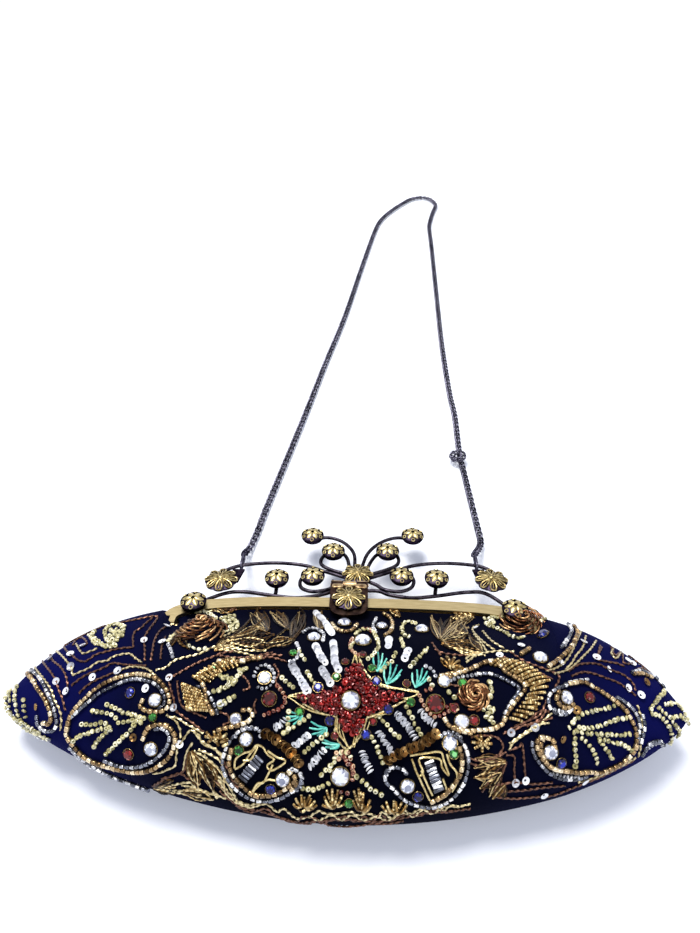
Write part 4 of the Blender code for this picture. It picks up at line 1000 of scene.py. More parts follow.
def strokes(*given, size=2):
    """The view of each stroke with its points, which take size numbers each."""
    found, view = [], None
    for item in given:
        if item in (LEFT, MIDDLE, RIGHT):
            view = item
        else:
            found.append((view, [item[k : k + size] for k in range(0, len(item), size)]))
    return found


CREAM_LINES = strokes(
    LEFT,
    (75, 590, 50, 640, 45, 700, 60, 750, 90, 790), (120, 570, 105, 620, 115, 680, 125, 740, 140, 780),
    (165, 655, 170, 710, 180, 760), (75, 790, 130, 815, 190, 840, 250, 870, 320, 900),
    (100, 770, 150, 790, 200, 825, 260, 860), (620, 215, 600, 250, 625, 285, 665, 300, 710, 305, 750, 300),
    (745, 170, 710, 185, 690, 220, 700, 260, 730, 290, 770, 270), (775, 250, 800, 240, 810, 200, 790, 175, 760, 160),
    (730, 205, 760, 230, 735, 250), (705, 685, 740, 700, 775, 715, 810, 735, 850, 745, 900, 755, 945, 775),
    (615, 725, 660, 735, 710, 740, 750, 760, 780, 795, 830, 790, 880, 785, 930, 795),
    (540, 810, 590, 810, 640, 805, 690, 800, 720, 830), (490, 910, 530, 885, 580, 870, 630, 850, 680, 835, 730, 840),
    (620, 950, 650, 915, 680, 880, 700, 860), (700, 1000, 730, 970, 765, 935, 800, 905, 840, 870, 880, 820),
    (1280, 90, 1330, 80, 1370, 100, 1410, 130, 1385, 150), (1450, 130, 1490, 160, 1530, 170, 1500, 190),
    (1100, 280, 1130, 240), (1240, 310, 1290, 330, 1340, 330),
    MIDDLE,
    (500, 270, 530, 320), (545, 400, 580, 450, 610, 490), (390, 430, 430, 470, 460, 490),
    (150, 380, 100, 430, 60, 460), (1300, 250, 1260, 290, 1220, 330, 1195, 360),
    (1100, 280, 1080, 320, 1040, 360, 1010, 390), (400, 770, 450, 740, 490, 715, 530, 690, 560, 670),
    (530, 890, 560, 860, 600, 830, 640, 800, 665, 780),
    (640, 1030, 680, 990, 715, 950, 740, 900, 790, 890, 820, 920), (950, 800, 980, 850, 1000, 900, 1020, 950),
    (1000, 670, 1040, 720, 1080, 760, 1120, 800), (1170, 610, 1190, 660, 1220, 720, 1260, 780),
    (520, 1110, 570, 1120, 620, 1110, 680, 1085), (860, 1040, 900, 1070, 950, 1120, 1010, 1150),
    RIGHT,
    (300, 190, 340, 210, 380, 235, 430, 250, 460, 240), (500, 190, 540, 165, 600, 130),
    (310, 80, 280, 100, 250, 140, 230, 160, 270, 180), (775, 750, 830, 715, 880, 700, 930, 690, 980, 680, 1020, 670),
    (800, 800, 880, 800, 940, 785, 1000, 765, 1050, 745, 1100, 740),
    (790, 820, 850, 835, 910, 840, 980, 840, 1040, 845, 1120, 840),
    (930, 870, 970, 880, 1020, 890, 1080, 905, 1130, 940), (820, 860, 860, 900, 890, 940, 910, 990, 920, 1020),
    (930, 880, 960, 920, 985, 950, 1010, 990), (770, 830, 775, 880, 780, 960, 785, 1010, 780, 1040),
    (740, 800, 760, 770),
    (1340, 570, 1300, 620, 1260, 670, 1250, 710, 1290, 720, 1330, 750, 1370, 800, 1380, 850, 1380, 900),
    (1300, 680, 1360, 730, 1400, 780, 1430, 820, 1440, 870), (1340, 660, 1400, 650, 1440, 680, 1470, 720, 1490, 770),
    (1380, 740, 1430, 730, 1480, 760), (250, 520, 255, 560, 250, 600), (240, 680, 280, 690, 215, 720, 250, 750),
    LEFT,
    (60, 600, 75, 650, 70, 700, 85, 750, 110, 790), (590, 235, 640, 275, 700, 315, 760, 305),
    (700, 195, 730, 170, 780, 165, 815, 185), (720, 240, 750, 275, 790, 225, 760, 200),
    (1460, 150, 1500, 130, 1550, 150), (1400, 600, 1440, 590, 1480, 570, 1530, 540),
    (1440, 500, 1480, 515, 1530, 540), (1430, 680, 1480, 660, 1530, 630),
    MIDDLE,
    (20, 100, 50, 85, 85, 75, 110, 95, 100, 125, 60, 135, 25, 150), (10, 65, 50, 50, 90, 45),
    (10, 495, 50, 482, 85, 468), (20, 432, 60, 428, 100, 445), (0, 605, 50, 575, 95, 545), (125, 385, 165, 372),
    (850, 160, 880, 138, 925, 132, 962, 152, 988, 192, 990, 245, 968, 285, 930, 312), (815, 250, 835, 215),
    (1185, 180, 1152, 162, 1140, 122, 1158, 90, 1192, 80, 1225, 95), (1132, 190, 1150, 240),
    (720, 930, 700, 970, 690, 1000), (430, 640, 420, 760), (1310, 440, 1330, 480), (1430, 520, 1470, 550),
    RIGHT,
    (255, 70, 290, 80, 320, 95), (215, 125, 250, 130, 275, 150, 240, 165), (210, 690, 245, 720, 270, 770),
    (240, 520, 260, 560, 255, 610),
)
SILVER_SEED_LINES = strokes(
    LEFT,
    (100, 800, 150, 835, 210, 870, 270, 895, 330, 905), (85, 815, 140, 850, 200, 885),
    (1100, 300, 1120, 340, 1130, 380), (465, 965, 530, 1030, 600, 1080, 680, 1130),
    MIDDLE,
    (215, 420, 235, 372, 280, 352, 325, 377, 342, 422, 325, 470, 285, 498, 240, 488),
    (520, 150, 560, 125, 610, 130, 650, 160, 645, 200), (480, 220, 500, 270, 470, 320, 440, 330),
    (980, 60, 960, 110, 975, 150), (1385, 790, 1420, 768, 1470, 768, 1505, 800),
    (455, 995, 500, 1015, 518, 1060, 500, 1110, 460, 1135),
    (1035, 1060, 1050, 1010, 1090, 985, 1140, 990, 1165, 1020), (100, 790, 130, 752, 190, 735, 245, 752, 255, 790),
    (1290, 360, 1330, 380, 1350, 420),
    RIGHT,
    (740, 165, 760, 200, 740, 250, 715, 290), (650, 690, 720, 705, 760, 690), (640, 1080, 720, 1100, 800, 1105),
    (1200, 960, 1240, 915, 1300, 890, 1330, 910), (0, 510, 60, 490, 130, 480, 190, 470),
)
COPPER_BEAD_LINES = strokes(
    MIDDLE,
    (360, 480, 400, 530, 410, 580, 380, 620, 330, 640, 280, 660),
    (1250, 540, 1270, 590, 1300, 630, 1340, 670, 1410, 650, 1450, 620, 1480, 600),
    (770, 910, 800, 950, 830, 990, 830, 1060), (830, 190, 815, 235, 835, 272, 870, 292),
    (730, 895, 765, 888, 805, 892), (745, 930, 780, 920, 818, 930), (800, 962, 832, 975, 836, 1015),
    (760, 1135, 800, 1142), (950, 150, 935, 130, 895, 125), (1290, 510, 1320, 500),
    (1420, 610, 1470, 595, 1485, 630),
)
GOLD_BUGLE_LINES = strokes(
    LEFT,
    (510, 700, 560, 650, 620, 595, 690, 550, 770, 515, 850, 495, 930, 490, 1010, 510, 1070, 560, 1105, 620, 1110,
        680, 1080, 720, 1020, 730, 960, 720, 925, 690, 940, 660),
    (510, 700, 470, 760, 450, 830, 445, 880, 480, 930, 540, 1000, 600, 1040, 680, 1070, 760, 1090, 840, 1110, 900,
        1115, 980, 1105, 1050, 1070, 1110, 1020, 1140, 960, 1150, 900, 1130, 850, 1080, 815, 1020, 815, 970, 840,
        945, 900), (190, 490, 225, 530, 255, 580, 285, 620, 310, 660, 335, 720, 345, 770, 330, 805, 300, 800),
    (1330, 560, 1345, 600, 1350, 660, 1370, 700, 1390, 735),
    MIDDLE,
    (75, 880, 60, 950, 80, 1020, 130, 1080, 200, 1140, 270, 1155, 350, 1145, 420, 1110, 470, 1070),
    (1500, 870, 1515, 940, 1505, 1020, 1460, 1090, 1400, 1150, 1330, 1190),
    RIGHT,
    (770, 170, 795, 210, 780, 260, 750, 310, 710, 350, 660, 390, 620, 420), (450, 345, 490, 320),
    (750, 530, 830, 520, 900, 555, 960, 590, 1030, 640, 1090, 690, 1120, 740, 1150, 800, 1160, 870, 1150, 930, 1110,
        980, 1060, 1020, 1000, 1050, 930, 1075, 870, 1070, 800, 1075, 730, 1065, 660, 1055, 600, 1020, 560, 970, 540,
        910, 550, 870, 590, 860, 640, 880, 650, 920), (670, 580, 660, 630, 690, 670, 730, 680, 760, 660),
    (130, 440, 220, 400, 290, 400, 350, 460, 420, 500, 470, 550, 430, 610, 390, 660, 350, 720, 320, 780, 250, 810,
        180, 815, 100, 820, 30, 800),
    MIDDLE,
    (705, 100, 730, 132, 780, 147, 830, 137, 858, 105), (1030, 35, 1065, 60, 1082, 100, 1070, 145, 1040, 168),
    (440, 1010, 470, 1040, 480, 1080, 455, 1115),
    (0, 750, 60, 735, 130, 720, 190, 690, 207, 650, 190, 630, 150, 630),
    (1410, 690, 1440, 730, 1500, 755, 1565, 770), (1390, 420, 1460, 405, 1530, 395),
    (0, 330, 70, 335, 140, 330, 200, 315, 250, 310),
    RIGHT,
    (0, 490, 60, 460, 130, 440), (580, 870, 560, 920, 580, 980, 620, 1040, 680, 1060),
    (1150, 470, 1200, 470, 1250, 490),
)
SILVER_BUGLE_LINES = strokes(
    LEFT,
    (480, 760, 530, 715, 590, 665, 660, 610, 740, 570, 820, 535, 900, 520, 980, 535, 1040, 570, 1075, 620, 1080, 670,
        1050, 705),
    (700, 1045, 780, 1075, 860, 1085, 940, 1075, 1010, 1040, 1070, 990, 1105, 930, 1110, 880, 1070, 840, 1030, 840),
    (470, 960, 520, 1010, 580, 1050, 650, 1095, 720, 1140, 800, 1180, 870, 1210, 960, 1240),
    (205, 460, 240, 490, 280, 530, 310, 590, 340, 650, 360, 700, 375, 760, 380, 810, 350, 850, 290, 840, 255, 800,
        250, 765), (1300, 570, 1350, 590, 1380, 640, 1410, 700, 1420, 730),
    MIDDLE,
    (230, 745, 170, 745, 110, 770, 60, 830, 30, 900, 20, 970, 50, 1050, 110, 1120, 190, 1170, 280, 1190, 370, 1175,
        440, 1140, 500, 1090, 510, 1040, 480, 1000, 440, 1000),
    (1440, 780, 1500, 810, 1540, 870, 1555, 950, 1540, 1040, 1500, 1120, 1430, 1190, 1340, 1225, 1250, 1220, 1150,
        1180, 1090, 1120, 1040, 1070, 1040, 1010, 1090, 980, 1150, 1000),
    RIGHT,
    (740, 160, 760, 200, 745, 240, 720, 270, 700, 300), (720, 530, 780, 515, 850, 505),
    (1050, 620, 1110, 660, 1160, 720, 1180, 790, 1170, 860), (1200, 730, 1210, 800, 1190, 880),
    (510, 900, 520, 960, 560, 1020, 620, 1080, 690, 1110, 770, 1115, 840, 1100),
    (720, 540, 660, 560, 620, 600, 615, 650, 640, 700, 700, 720, 740, 700),
    (1200, 960, 1240, 900, 1300, 880, 1330, 900), (1140, 460, 1180, 450, 1240, 470, 1290, 500, 1330, 550),
    (180, 470, 250, 470, 310, 490, 370, 520, 430, 560, 400, 620, 360, 680, 330, 740),
)
# Rows of silver bugles laid side by side, from one end of the ladder to the other
LADDERS = strokes(
    MIDDLE,
    (250, 930, 150, 1050), (1310, 950, 1370, 1120),
)
PALE_CORD_LINES = strokes(
    LEFT,
    (215, 420, 250, 470, 300, 530, 340, 590, 360, 650, 390, 710, 405, 770, 400, 850),
    (370, 335, 410, 370, 445, 410, 470, 440, 480, 490, 520, 475, 580, 450, 640, 410, 700, 400, 740, 375, 790, 360,
        850, 355, 890, 385, 930, 410),
    (1020, 460, 1080, 445, 1140, 400, 1200, 380, 1270, 365, 1330, 345, 1400, 310, 1480, 305, 1560, 320),
    (790, 460, 850, 440, 910, 440, 970, 455, 1010, 490, 1050, 530, 1070, 560),
    (500, 290, 540, 350, 590, 340, 640, 320), (1090, 750, 1150, 790, 1180, 850, 1180, 900),
    (1180, 940, 1220, 880, 1250, 850, 1300, 880, 1330, 940, 1400, 970, 1440, 1010),
    (1165, 950, 1155, 1010, 1145, 1080, 1080, 1110), (1100, 1100, 1060, 1120, 1000, 1130),
    (1200, 1110, 1220, 1000, 1260, 930), (1250, 990, 1330, 1050, 1400, 1130, 1450, 1200, 1500, 1280),
    (1260, 1000, 1300, 1100, 1370, 1200, 1430, 1280), (1250, 1020, 1240, 1100, 1250, 1160, 1310, 1200),
    (1010, 1220, 1100, 1210, 1200, 1190, 1250, 1190, 1290, 1230, 1380, 1260, 1480, 1290),
    (1040, 1240, 1150, 1250, 1250, 1270, 1400, 1300),
    MIDDLE,
    (435, 540, 520, 520), (435, 540, 560, 560),
    (520, 590, 640, 650, 735, 680, 720, 760, 740, 820, 790, 870, 830, 850, 880, 790, 905, 730, 920, 680),
    (920, 680, 1000, 650, 1080, 610, 1180, 560, 1245, 520, 1150, 500, 1050, 490, 990, 470),
    (850, 320, 860, 290, 885, 330, 905, 380, 950, 440),
    (100, 1190, 190, 1230, 290, 1210, 360, 1260, 400, 1240, 480, 1300, 560, 1290, 620, 1310, 700, 1280, 760, 1310,
        830, 1280, 900, 1310, 980, 1290, 1050, 1310, 1130, 1270, 1200, 1270, 1260, 1240, 1330, 1270, 1400, 1230,
        1500, 1225, 1568, 1210), (0, 240, 100, 250, 200, 260, 290, 260),
    RIGHT,
    (820, 200, 790, 270, 760, 330, 720, 390, 660, 430, 600, 450), (850, 230, 830, 300, 790, 350, 760, 400, 720, 440),
    (915, 260, 880, 310, 840, 350, 790, 400, 740, 440, 650, 465), (180, 160, 140, 190, 200, 260, 280, 320),
    (205, 200, 260, 260, 340, 310), (120, 390, 100, 370, 150, 350, 220, 350),
    (370, 900, 440, 850, 500, 810, 560, 780, 620, 770),
    LEFT,
    (1100, 760, 1160, 770, 1220, 810, 1280, 840, 1330, 870),
    (1270, 860, 1320, 920, 1390, 960, 1440, 1000, 1455, 1060),
    (1255, 990, 1290, 1050, 1340, 1130, 1380, 1210, 1420, 1290),
    (1270, 985, 1350, 1030, 1420, 1090, 1470, 1160, 1520, 1250, 1550, 1300),
    (1300, 975, 1380, 1010, 1440, 1050, 1470, 1110), (1335, 1010, 1390, 1080, 1430, 1150, 1500, 1200),
    (1240, 1010, 1230, 1080, 1240, 1140, 1290, 1190), (1010, 1225, 1120, 1235, 1220, 1245, 1320, 1270),
    (1190, 1205, 1260, 1215, 1330, 1240, 1400, 1265), (1370, 40, 1420, 60, 1480, 90, 1540, 120),
    (1430, 335, 1500, 300, 1565, 290), (1460, 245, 1520, 215, 1565, 205),
    MIDDLE,
    (0, 255, 80, 264, 160, 278, 230, 300), (0, 1050, 40, 1120, 100, 1180, 180, 1215, 260, 1200),
    (0, 1090, 50, 1155, 120, 1210, 200, 1235),
    (560, 1290, 620, 1255, 660, 1270, 740, 1270, 820, 1260, 860, 1280, 930, 1270, 990, 1290, 1020, 1260, 1080, 1300,
        1150, 1250, 1210, 1290, 1260, 1250, 1330, 1230, 1400, 1250, 1440, 1220, 1500, 1230),
    RIGHT,
    (100, 395, 180, 345, 260, 330, 330, 325, 400, 330), (1170, 660, 1195, 740, 1205, 830, 1190, 920, 1175, 980),
    (650, 700, 600, 740, 540, 800, 470, 840, 400, 890, 365, 940), (1020, 310, 1010, 340, 1040, 370, 1070, 330),
    (1160, 985, 1080, 1030, 1000, 1070, 900, 1110, 800, 1140), (150, 220, 200, 280, 230, 330),
)
COPPER_CORD_LINES = strokes(
    LEFT,
    (260, 375, 300, 430, 340, 480, 370, 530, 385, 580, 410, 640, 430, 720),
    (320, 345, 350, 400, 400, 440, 435, 500, 445, 560, 440, 590),
    (420, 310, 450, 350, 480, 370, 520, 400, 570, 400, 630, 360, 700, 340, 760, 325, 830, 315, 870, 310, 870, 250,
        885, 210, 920, 190, 950, 160, 1000, 120),
    (470, 560, 520, 520, 570, 490, 620, 470, 690, 440, 740, 415, 820, 425, 900, 430, 960, 430),
    (520, 610, 560, 570, 620, 530, 690, 500, 750, 475),
    (950, 400, 950, 340, 945, 280, 950, 240, 980, 190, 1010, 150, 1030, 120),
    (990, 400, 1000, 330, 1010, 270, 1040, 210, 1080, 180), (1050, 390, 1055, 330, 1062, 290, 1080, 245),
    (1090, 510, 1150, 490, 1220, 450, 1300, 410, 1380, 380, 1460, 350, 1550, 340),
    (1100, 520, 1120, 590, 1140, 660, 1150, 720, 1200, 760, 1270, 810, 1330, 860),
    (1160, 530, 1165, 600, 1180, 670, 1210, 710, 1280, 740, 1350, 770),
    (480, 300, 500, 265, 540, 250, 570, 280, 560, 300, 530, 300),
    (420, 300, 500, 240, 580, 210, 660, 180, 900, 130, 990, 112, 1030, 112),
    MIDDLE,
    (100, 1220, 190, 1260, 290, 1240, 360, 1290, 480, 1330, 560, 1320, 700, 1310, 830, 1310, 980, 1320, 1130, 1300,
        1260, 1270, 1400, 1260, 1568, 1240),
    RIGHT,
    (950, 300, 920, 370, 980, 390, 1040, 400, 1090, 420),
    (740, 450, 800, 410, 880, 400, 940, 410, 1000, 440, 1080, 470, 1140, 520, 1160, 570),
    (760, 480, 830, 455, 900, 465, 970, 490, 1050, 520, 1110, 560, 1160, 600), (1010, 300, 1030, 350, 1070, 330),
    (1080, 340, 1090, 400, 1160, 400), (1120, 350, 1180, 400, 1240, 440, 1300, 500, 1330, 550),
    (370, 940, 430, 920, 450, 900, 460, 980, 470, 1110), (350, 970, 400, 980, 400, 1060, 405, 1130),
    (380, 330, 450, 380, 520, 410, 600, 440, 680, 480, 650, 560, 600, 640, 560, 720, 480, 760, 400, 800, 330, 840),
    (330, 360, 420, 400, 520, 440, 640, 500),
    (130, 860, 200, 850, 290, 860, 330, 910, 310, 960, 250, 990, 150, 1000),
    (280, 1230, 400, 1240, 520, 1230, 640, 1220, 750, 1180, 850, 1140, 950, 1100, 1050, 1050, 1150, 1000),
    (350, 1010, 320, 1100, 270, 1200), (330, 1030, 260, 1100, 200, 1200), (350, 1020, 300, 1150),
    MIDDLE,
    (120, 395, 160, 430, 185, 470, 180, 495, 145, 505), (1480, 545, 1500, 520, 1540, 510, 1565, 535),
    (1500, 560, 1540, 572, 1560, 605), (1430, 470, 1500, 480, 1560, 492),
    (1350, 250, 1400, 275, 1470, 285, 1565, 290), (1330, 210, 1360, 255, 1385, 290),
    (230, 320, 300, 300, 360, 310, 420, 330), (250, 300, 320, 285, 390, 290), (0, 640, 50, 660, 60, 700, 20, 720),
    (230, 560, 215, 600, 225, 650),
    LEFT,
    (1000, 1210, 1100, 1155, 1180, 1130, 1240, 1170), (1230, 1000, 1220, 1060, 1205, 1110, 1150, 1140, 1060, 1160),
    (1400, 50, 1470, 28, 1540, 50), (1110, 285, 1150, 230, 1210, 170, 1270, 130), (1560, 255, 1500, 272, 1440, 290),
    (1400, 1165, 1470, 1235, 1540, 1300), (1440, 1020, 1490, 1100, 1520, 1170, 1560, 1230),
    MIDDLE,
    (0, 290, 80, 302, 160, 302, 240, 290, 330, 270), (0, 1130, 60, 1180, 140, 1232, 220, 1246),
    (430, 1330, 530, 1342, 620, 1315, 680, 1342, 760, 1352, 880, 1345, 960, 1332, 1050, 1334, 1150, 1315),
    (240, 1250, 320, 1275, 400, 1300, 480, 1320, 520, 1290, 600, 1300, 640, 1330, 720, 1300, 790, 1290, 850, 1320,
        900, 1290, 960, 1310, 1010, 1275, 1060, 1315, 1120, 1290, 1180, 1270, 1240, 1285, 1300, 1262, 1370, 1240,
        1420, 1262, 1500, 1245), (340, 345, 370, 400, 350, 450, 380, 490),
    RIGHT,
    (480, 790, 560, 760, 640, 740), (280, 1160, 400, 1140, 520, 1150, 640, 1140),
    (300, 1200, 450, 1190, 600, 1170, 720, 1160), (120, 990, 200, 1010, 280, 990, 350, 950),
    (120, 1020, 200, 1040, 300, 1010), (1150, 450, 1200, 432, 1260, 465, 1320, 525), (940, 290, 930, 330, 920, 360),
    (600, 690, 570, 740, 520, 770, 450, 790, 380, 830), (620, 700, 560, 700, 480, 760, 400, 790),
)
# Sequins sewn flat, one by one, and sequins standing in rows like fallen coins
SEQUIN_SPOTS = strokes(
    LEFT,
    (335, 388, 375, 535, 440, 598, 470, 440, 465, 360, 545, 305, 775, 468, 612, 508, 945, 270, 1062, 283, 1085, 178,
        1110, 512, 1140, 705, 1178, 940, 1445, 680, 960, 580),
    RIGHT,
    (310, 355, 835, 270, 915, 368, 990, 440, 1110, 555, 688, 395, 1015, 300, 1110, 385, 1140, 405, 530, 800, 380,
        830, 468, 1125, 405, 1140, 585, 1215, 840, 1130, 158, 185, 445, 295, 1190, 600),
)
GOLD_CUP_SPOTS = strokes(
    LEFT,
    (880, 895, 247, 697),
    RIGHT,
    (1225, 520, 790, 693, 700, 870),
)
GOLD_STACK_LINES = strokes(
    MIDDLE,
    (285, 770, 340, 805, 400, 845, 450, 890, 495, 950), (1050, 945, 1110, 905, 1190, 865, 1270, 835, 1345, 780),
)
FLAT_STACK_LINES = strokes(
    MIDDLE,
    (450, 350, 480, 400, 510, 450, 545, 510), (600, 240, 625, 290, 655, 335), (640, 380, 670, 430, 690, 460),
    (710, 220, 715, 270, 720, 330, 740, 380), (1060, 200, 1055, 240), (1180, 270, 1160, 310),
    (600, 30, 650, 80, 700, 160),
)
STACK_LINES = strokes(
    MIDDLE,
    (345, 740, 380, 720, 410, 690), (470, 850, 510, 820, 550, 790), (560, 980, 590, 950, 620, 910, 650, 880),
    (890, 880, 905, 920, 920, 960, 940, 1000), (990, 760, 1020, 800, 1050, 850, 1070, 890),
    (1100, 650, 1140, 690, 1180, 740, 1220, 800), (1250, 630, 1290, 680, 1340, 720),
)
# Smooth gilt wire in the paisleys, and fine gold thread laid round the star
PURL_WIRE_LINES = strokes(
    MIDDLE,
    (95, 985, 102, 930, 150, 895, 200, 880, 232, 845, 272, 858, 300, 900, 342, 935, 300, 970, 330, 1000, 415, 945,
        360, 920, 300, 880), (100, 992, 150, 960, 190, 900, 240, 850, 200, 930, 150, 940),
    (335, 965, 305, 1025, 275, 1075, 240, 1080, 200, 1140),
    (350, 1062, 300, 1058, 250, 1090, 215, 1135, 290, 1152, 340, 1130),
    (1190, 910, 1290, 895, 1380, 888, 1402, 940, 1432, 1030, 1390, 985, 1370, 930, 1250, 930, 1272, 1010, 1240, 1030,
        1200, 930), (1240, 1030, 1278, 1110, 1312, 1182), (1420, 900, 1440, 960, 1480, 1012, 1482, 1072, 1450, 1130),
    (1260, 1000, 1300, 1090, 1330, 1152), (1395, 1050, 1422, 1140, 1380, 1175),
)
STAR_THREAD_LINES = strokes(
    MIDDLE,
    (430, 542, 500, 548, 570, 530), (425, 548, 470, 575, 520, 612, 600, 642, 690, 662),
    (500, 595, 570, 636, 660, 660), (735, 660, 722, 720, 745, 780, 790, 835), (750, 700, 752, 770, 800, 855),
    (765, 750, 785, 815, 812, 870), (900, 690, 882, 750, 850, 815), (925, 668, 905, 740, 888, 785),
    (845, 795, 830, 850), (862, 785, 842, 860), (935, 662, 1000, 652, 1060, 625, 1120, 595, 1165, 562),
    (950, 690, 1000, 664, 1045, 652), (1040, 482, 1120, 500, 1180, 512, 1245, 520),
    (1100, 548, 1170, 556, 1245, 532), (1010, 470, 1090, 492, 1150, 500), (828, 345, 850, 285, 862, 345),
    (882, 385, 872, 305), (896, 405, 886, 335), (940, 700, 905, 800), (735, 690, 735, 760),
)
# Bronze thread: long lines of it, and leaves, given as the foot of each fan and then its tips
BRONZE_LINES = strokes(
    MIDDLE,
    (500, 0, 530, 60, 500, 130, 440, 180, 380, 220, 280, 230, 150, 200, 60, 180), (480, 40, 420, 120, 350, 180),
    (60, 190, 160, 170, 250, 130), (60, 190, 180, 140, 280, 60), (60, 190, 160, 100, 240, 0),
    (1320, 50, 1340, 120, 1380, 190, 1440, 250, 1568, 270), (1380, 190, 1450, 120, 1540, 80),
    (1380, 190, 1480, 100, 1568, 30), (1380, 200, 1480, 180, 1568, 170),
)
LEAF_FANS = strokes(
    MIDDLE,
    (70, 205, 290, 205, 350, 160, 330, 120, 250, 120), (450, 190, 535, 20, 500, 10, 465, 60, 300, 215),
    (300, 140, 180, 20, 225, 5, 275, 5), (430, 130, 310, 15, 350, 5, 395, 20), (330, 230, 480, 190, 170, 235),
    (620, 130, 590, 10, 640, 5, 680, 60), (1375, 190, 1320, 50, 1385, 55, 1450, 45, 1520, 20),
    (1390, 200, 1500, 80, 1560, 60, 1565, 115), (1390, 215, 1560, 160, 1565, 215, 1500, 250),
    (1130, 50, 1060, 5, 1100, 0), (1440, 370, 1380, 310, 1420, 300, 1465, 300, 1510, 330, 1530, 370),
    LEFT,
    (1250, 985, 1300, 1110, 1350, 1180, 1300, 1230, 1262, 1150), (1340, 1040, 1430, 1190, 1480, 1250, 1400, 1250),
    (1010, 1222, 1140, 1170, 1160, 1215, 1150, 1255), (1200, 1240, 1330, 1250, 1400, 1290),
    (1400, 330, 1500, 250, 1565, 235, 1565, 275), (1150, 220, 1100, 330, 1180, 300, 1240, 330),
    (1450, 90, 1380, 20, 1440, 20, 1500, 35, 1550, 60),
    RIGHT,
    (150, 110, 10, 70, 0, 115, 10, 165, 60, 60), (110, 215, 10, 165, 0, 205, 10, 245, 60, 150),
    (200, 330, 10, 260, 0, 300, 110, 225, 150, 260), (345, 1010, 150, 990, 140, 1050, 190, 1110),
    (320, 1080, 140, 1110, 180, 1180, 240, 1230), (340, 1150, 260, 1240, 330, 1245),
)
# Purl chips: single ones, tufts given as a foot and then its tips, and rows between two lines
CHIP_LINES = strokes(
    LEFT,
    (1185, 555, 1290, 600), (1190, 585, 1310, 640), (1200, 640, 1310, 680), (1210, 670, 1330, 710),
    (1215, 700, 1290, 720), (1280, 500, 1380, 540), (1300, 480, 1400, 520), (1330, 465, 1420, 500),
    (1360, 455, 1440, 480), (1440, 420, 1470, 440), (1465, 410, 1495, 430), (1490, 400, 1520, 420),
    (1350, 860, 1420, 930), (1340, 890, 1470, 900), (1360, 930, 1440, 870), (1400, 850, 1430, 950),
    RIGHT,
    (480, 600, 560, 620), (500, 560, 600, 510), (470, 530, 560, 490), (430, 490, 520, 460), (400, 460, 480, 440),
    (480, 640, 570, 615), (470, 680, 540, 665), (450, 720, 520, 710), (150, 850, 240, 930), (150, 930, 250, 860),
    (130, 890, 260, 900), (190, 840, 200, 950),
)
CHIP_TUFTS = strokes(
    MIDDLE,
    (525, 1215, 462, 1208, 475, 1172, 512, 1150, 568, 1150, 598, 1188, 590, 1232),
    (550, 1225, 530, 1165, 572, 1170, 500, 1240, 610, 1215),
    (712, 1222, 642, 1215, 655, 1160, 668, 1120, 705, 1112, 742, 1118, 768, 1155, 785, 1205),
    (690, 1232, 660, 1180, 760, 1170, 722, 1150),
    (885, 1248, 832, 1185, 838, 1120, 868, 1108, 900, 1135, 942, 1180, 945, 1220),
    (905, 1225, 850, 1160, 935, 1190, 880, 1130),
    (1080, 1262, 1012, 1215, 1040, 1190, 1090, 1185, 1140, 1195, 1170, 1212),
    (1110, 1245, 1050, 1230, 1150, 1235, 1100, 1195),
    (1445, 375, 1385, 310, 1420, 300, 1470, 305, 1500, 325, 1525, 375), (20, 800, 0, 760, 45, 775, 55, 815),
)
CHIP_ROW_FEET = strokes(
    LEFT,
    (1315, 600, 1345, 660, 1375, 725), (1330, 545, 1400, 505, 1480, 465, 1555, 440),
    RIGHT,
    (250, 415, 340, 440, 420, 490, 480, 540), (500, 570, 470, 620, 420, 680, 370, 740),
    MIDDLE,
    (0, 370, 40, 350, 80, 340), (0, 800, 20, 850),
)
CHIP_ROW_HEADS = strokes(
    LEFT,
    (1188, 548, 1202, 630, 1222, 715), (1262, 500, 1340, 450, 1430, 405, 1510, 385),
    RIGHT,
    (330, 372, 440, 390, 540, 440, 625, 505), (610, 545, 570, 640, 520, 710, 450, 760),
    MIDDLE,
    (0, 325, 40, 310, 90, 310), (40, 790, 60, 830),
)
CHIP_ROW_COUNTS = (8, 10, 11, 8, 5, 3)
TURQUOISE_SPRAYS = strokes(
    MIDDLE,
    (985, 390, 960, 290, 990, 270, 1020, 280, 1045, 310, 1050, 340),
    (1045, 470, 1030, 370, 1070, 340, 1110, 350, 1140, 380, 1130, 410),
    (1225, 490, 1205, 400, 1235, 380, 1270, 370, 1300, 390, 1310, 420),
    (520, 650, 420, 630, 415, 670, 425, 700, 460, 720, 490, 720),
    (670, 740, 570, 700, 560, 740, 575, 780, 610, 790, 650, 790),
    (750, 840, 640, 830, 660, 860, 690, 870, 720, 870, 645, 810),
)
(STAR_OUTLINE,) = strokes(
    MIDDLE,
    (480, 545, 590, 535, 700, 510, 770, 465, 790, 390, 830, 340, 870, 320, 900, 370, 920, 440, 970, 480, 1050, 510,
        1150, 540, 1100, 590, 1000, 630, 920, 660, 890, 720, 850, 790, 800, 770, 760, 720, 735, 660, 650, 640, 560,
        600),
)
# Purl roses: view, middle, half width in metres and the pad that each covers
ROSE_SPOTS = (
    (LEFT, (1318, 215), 0.0105, "left_purl_rose"),
    (RIGHT, (458, 148), 0.01, "right_purl_rose"),
    (RIGHT, (150, 600), 0.0058, "side_purl_rose"),
)
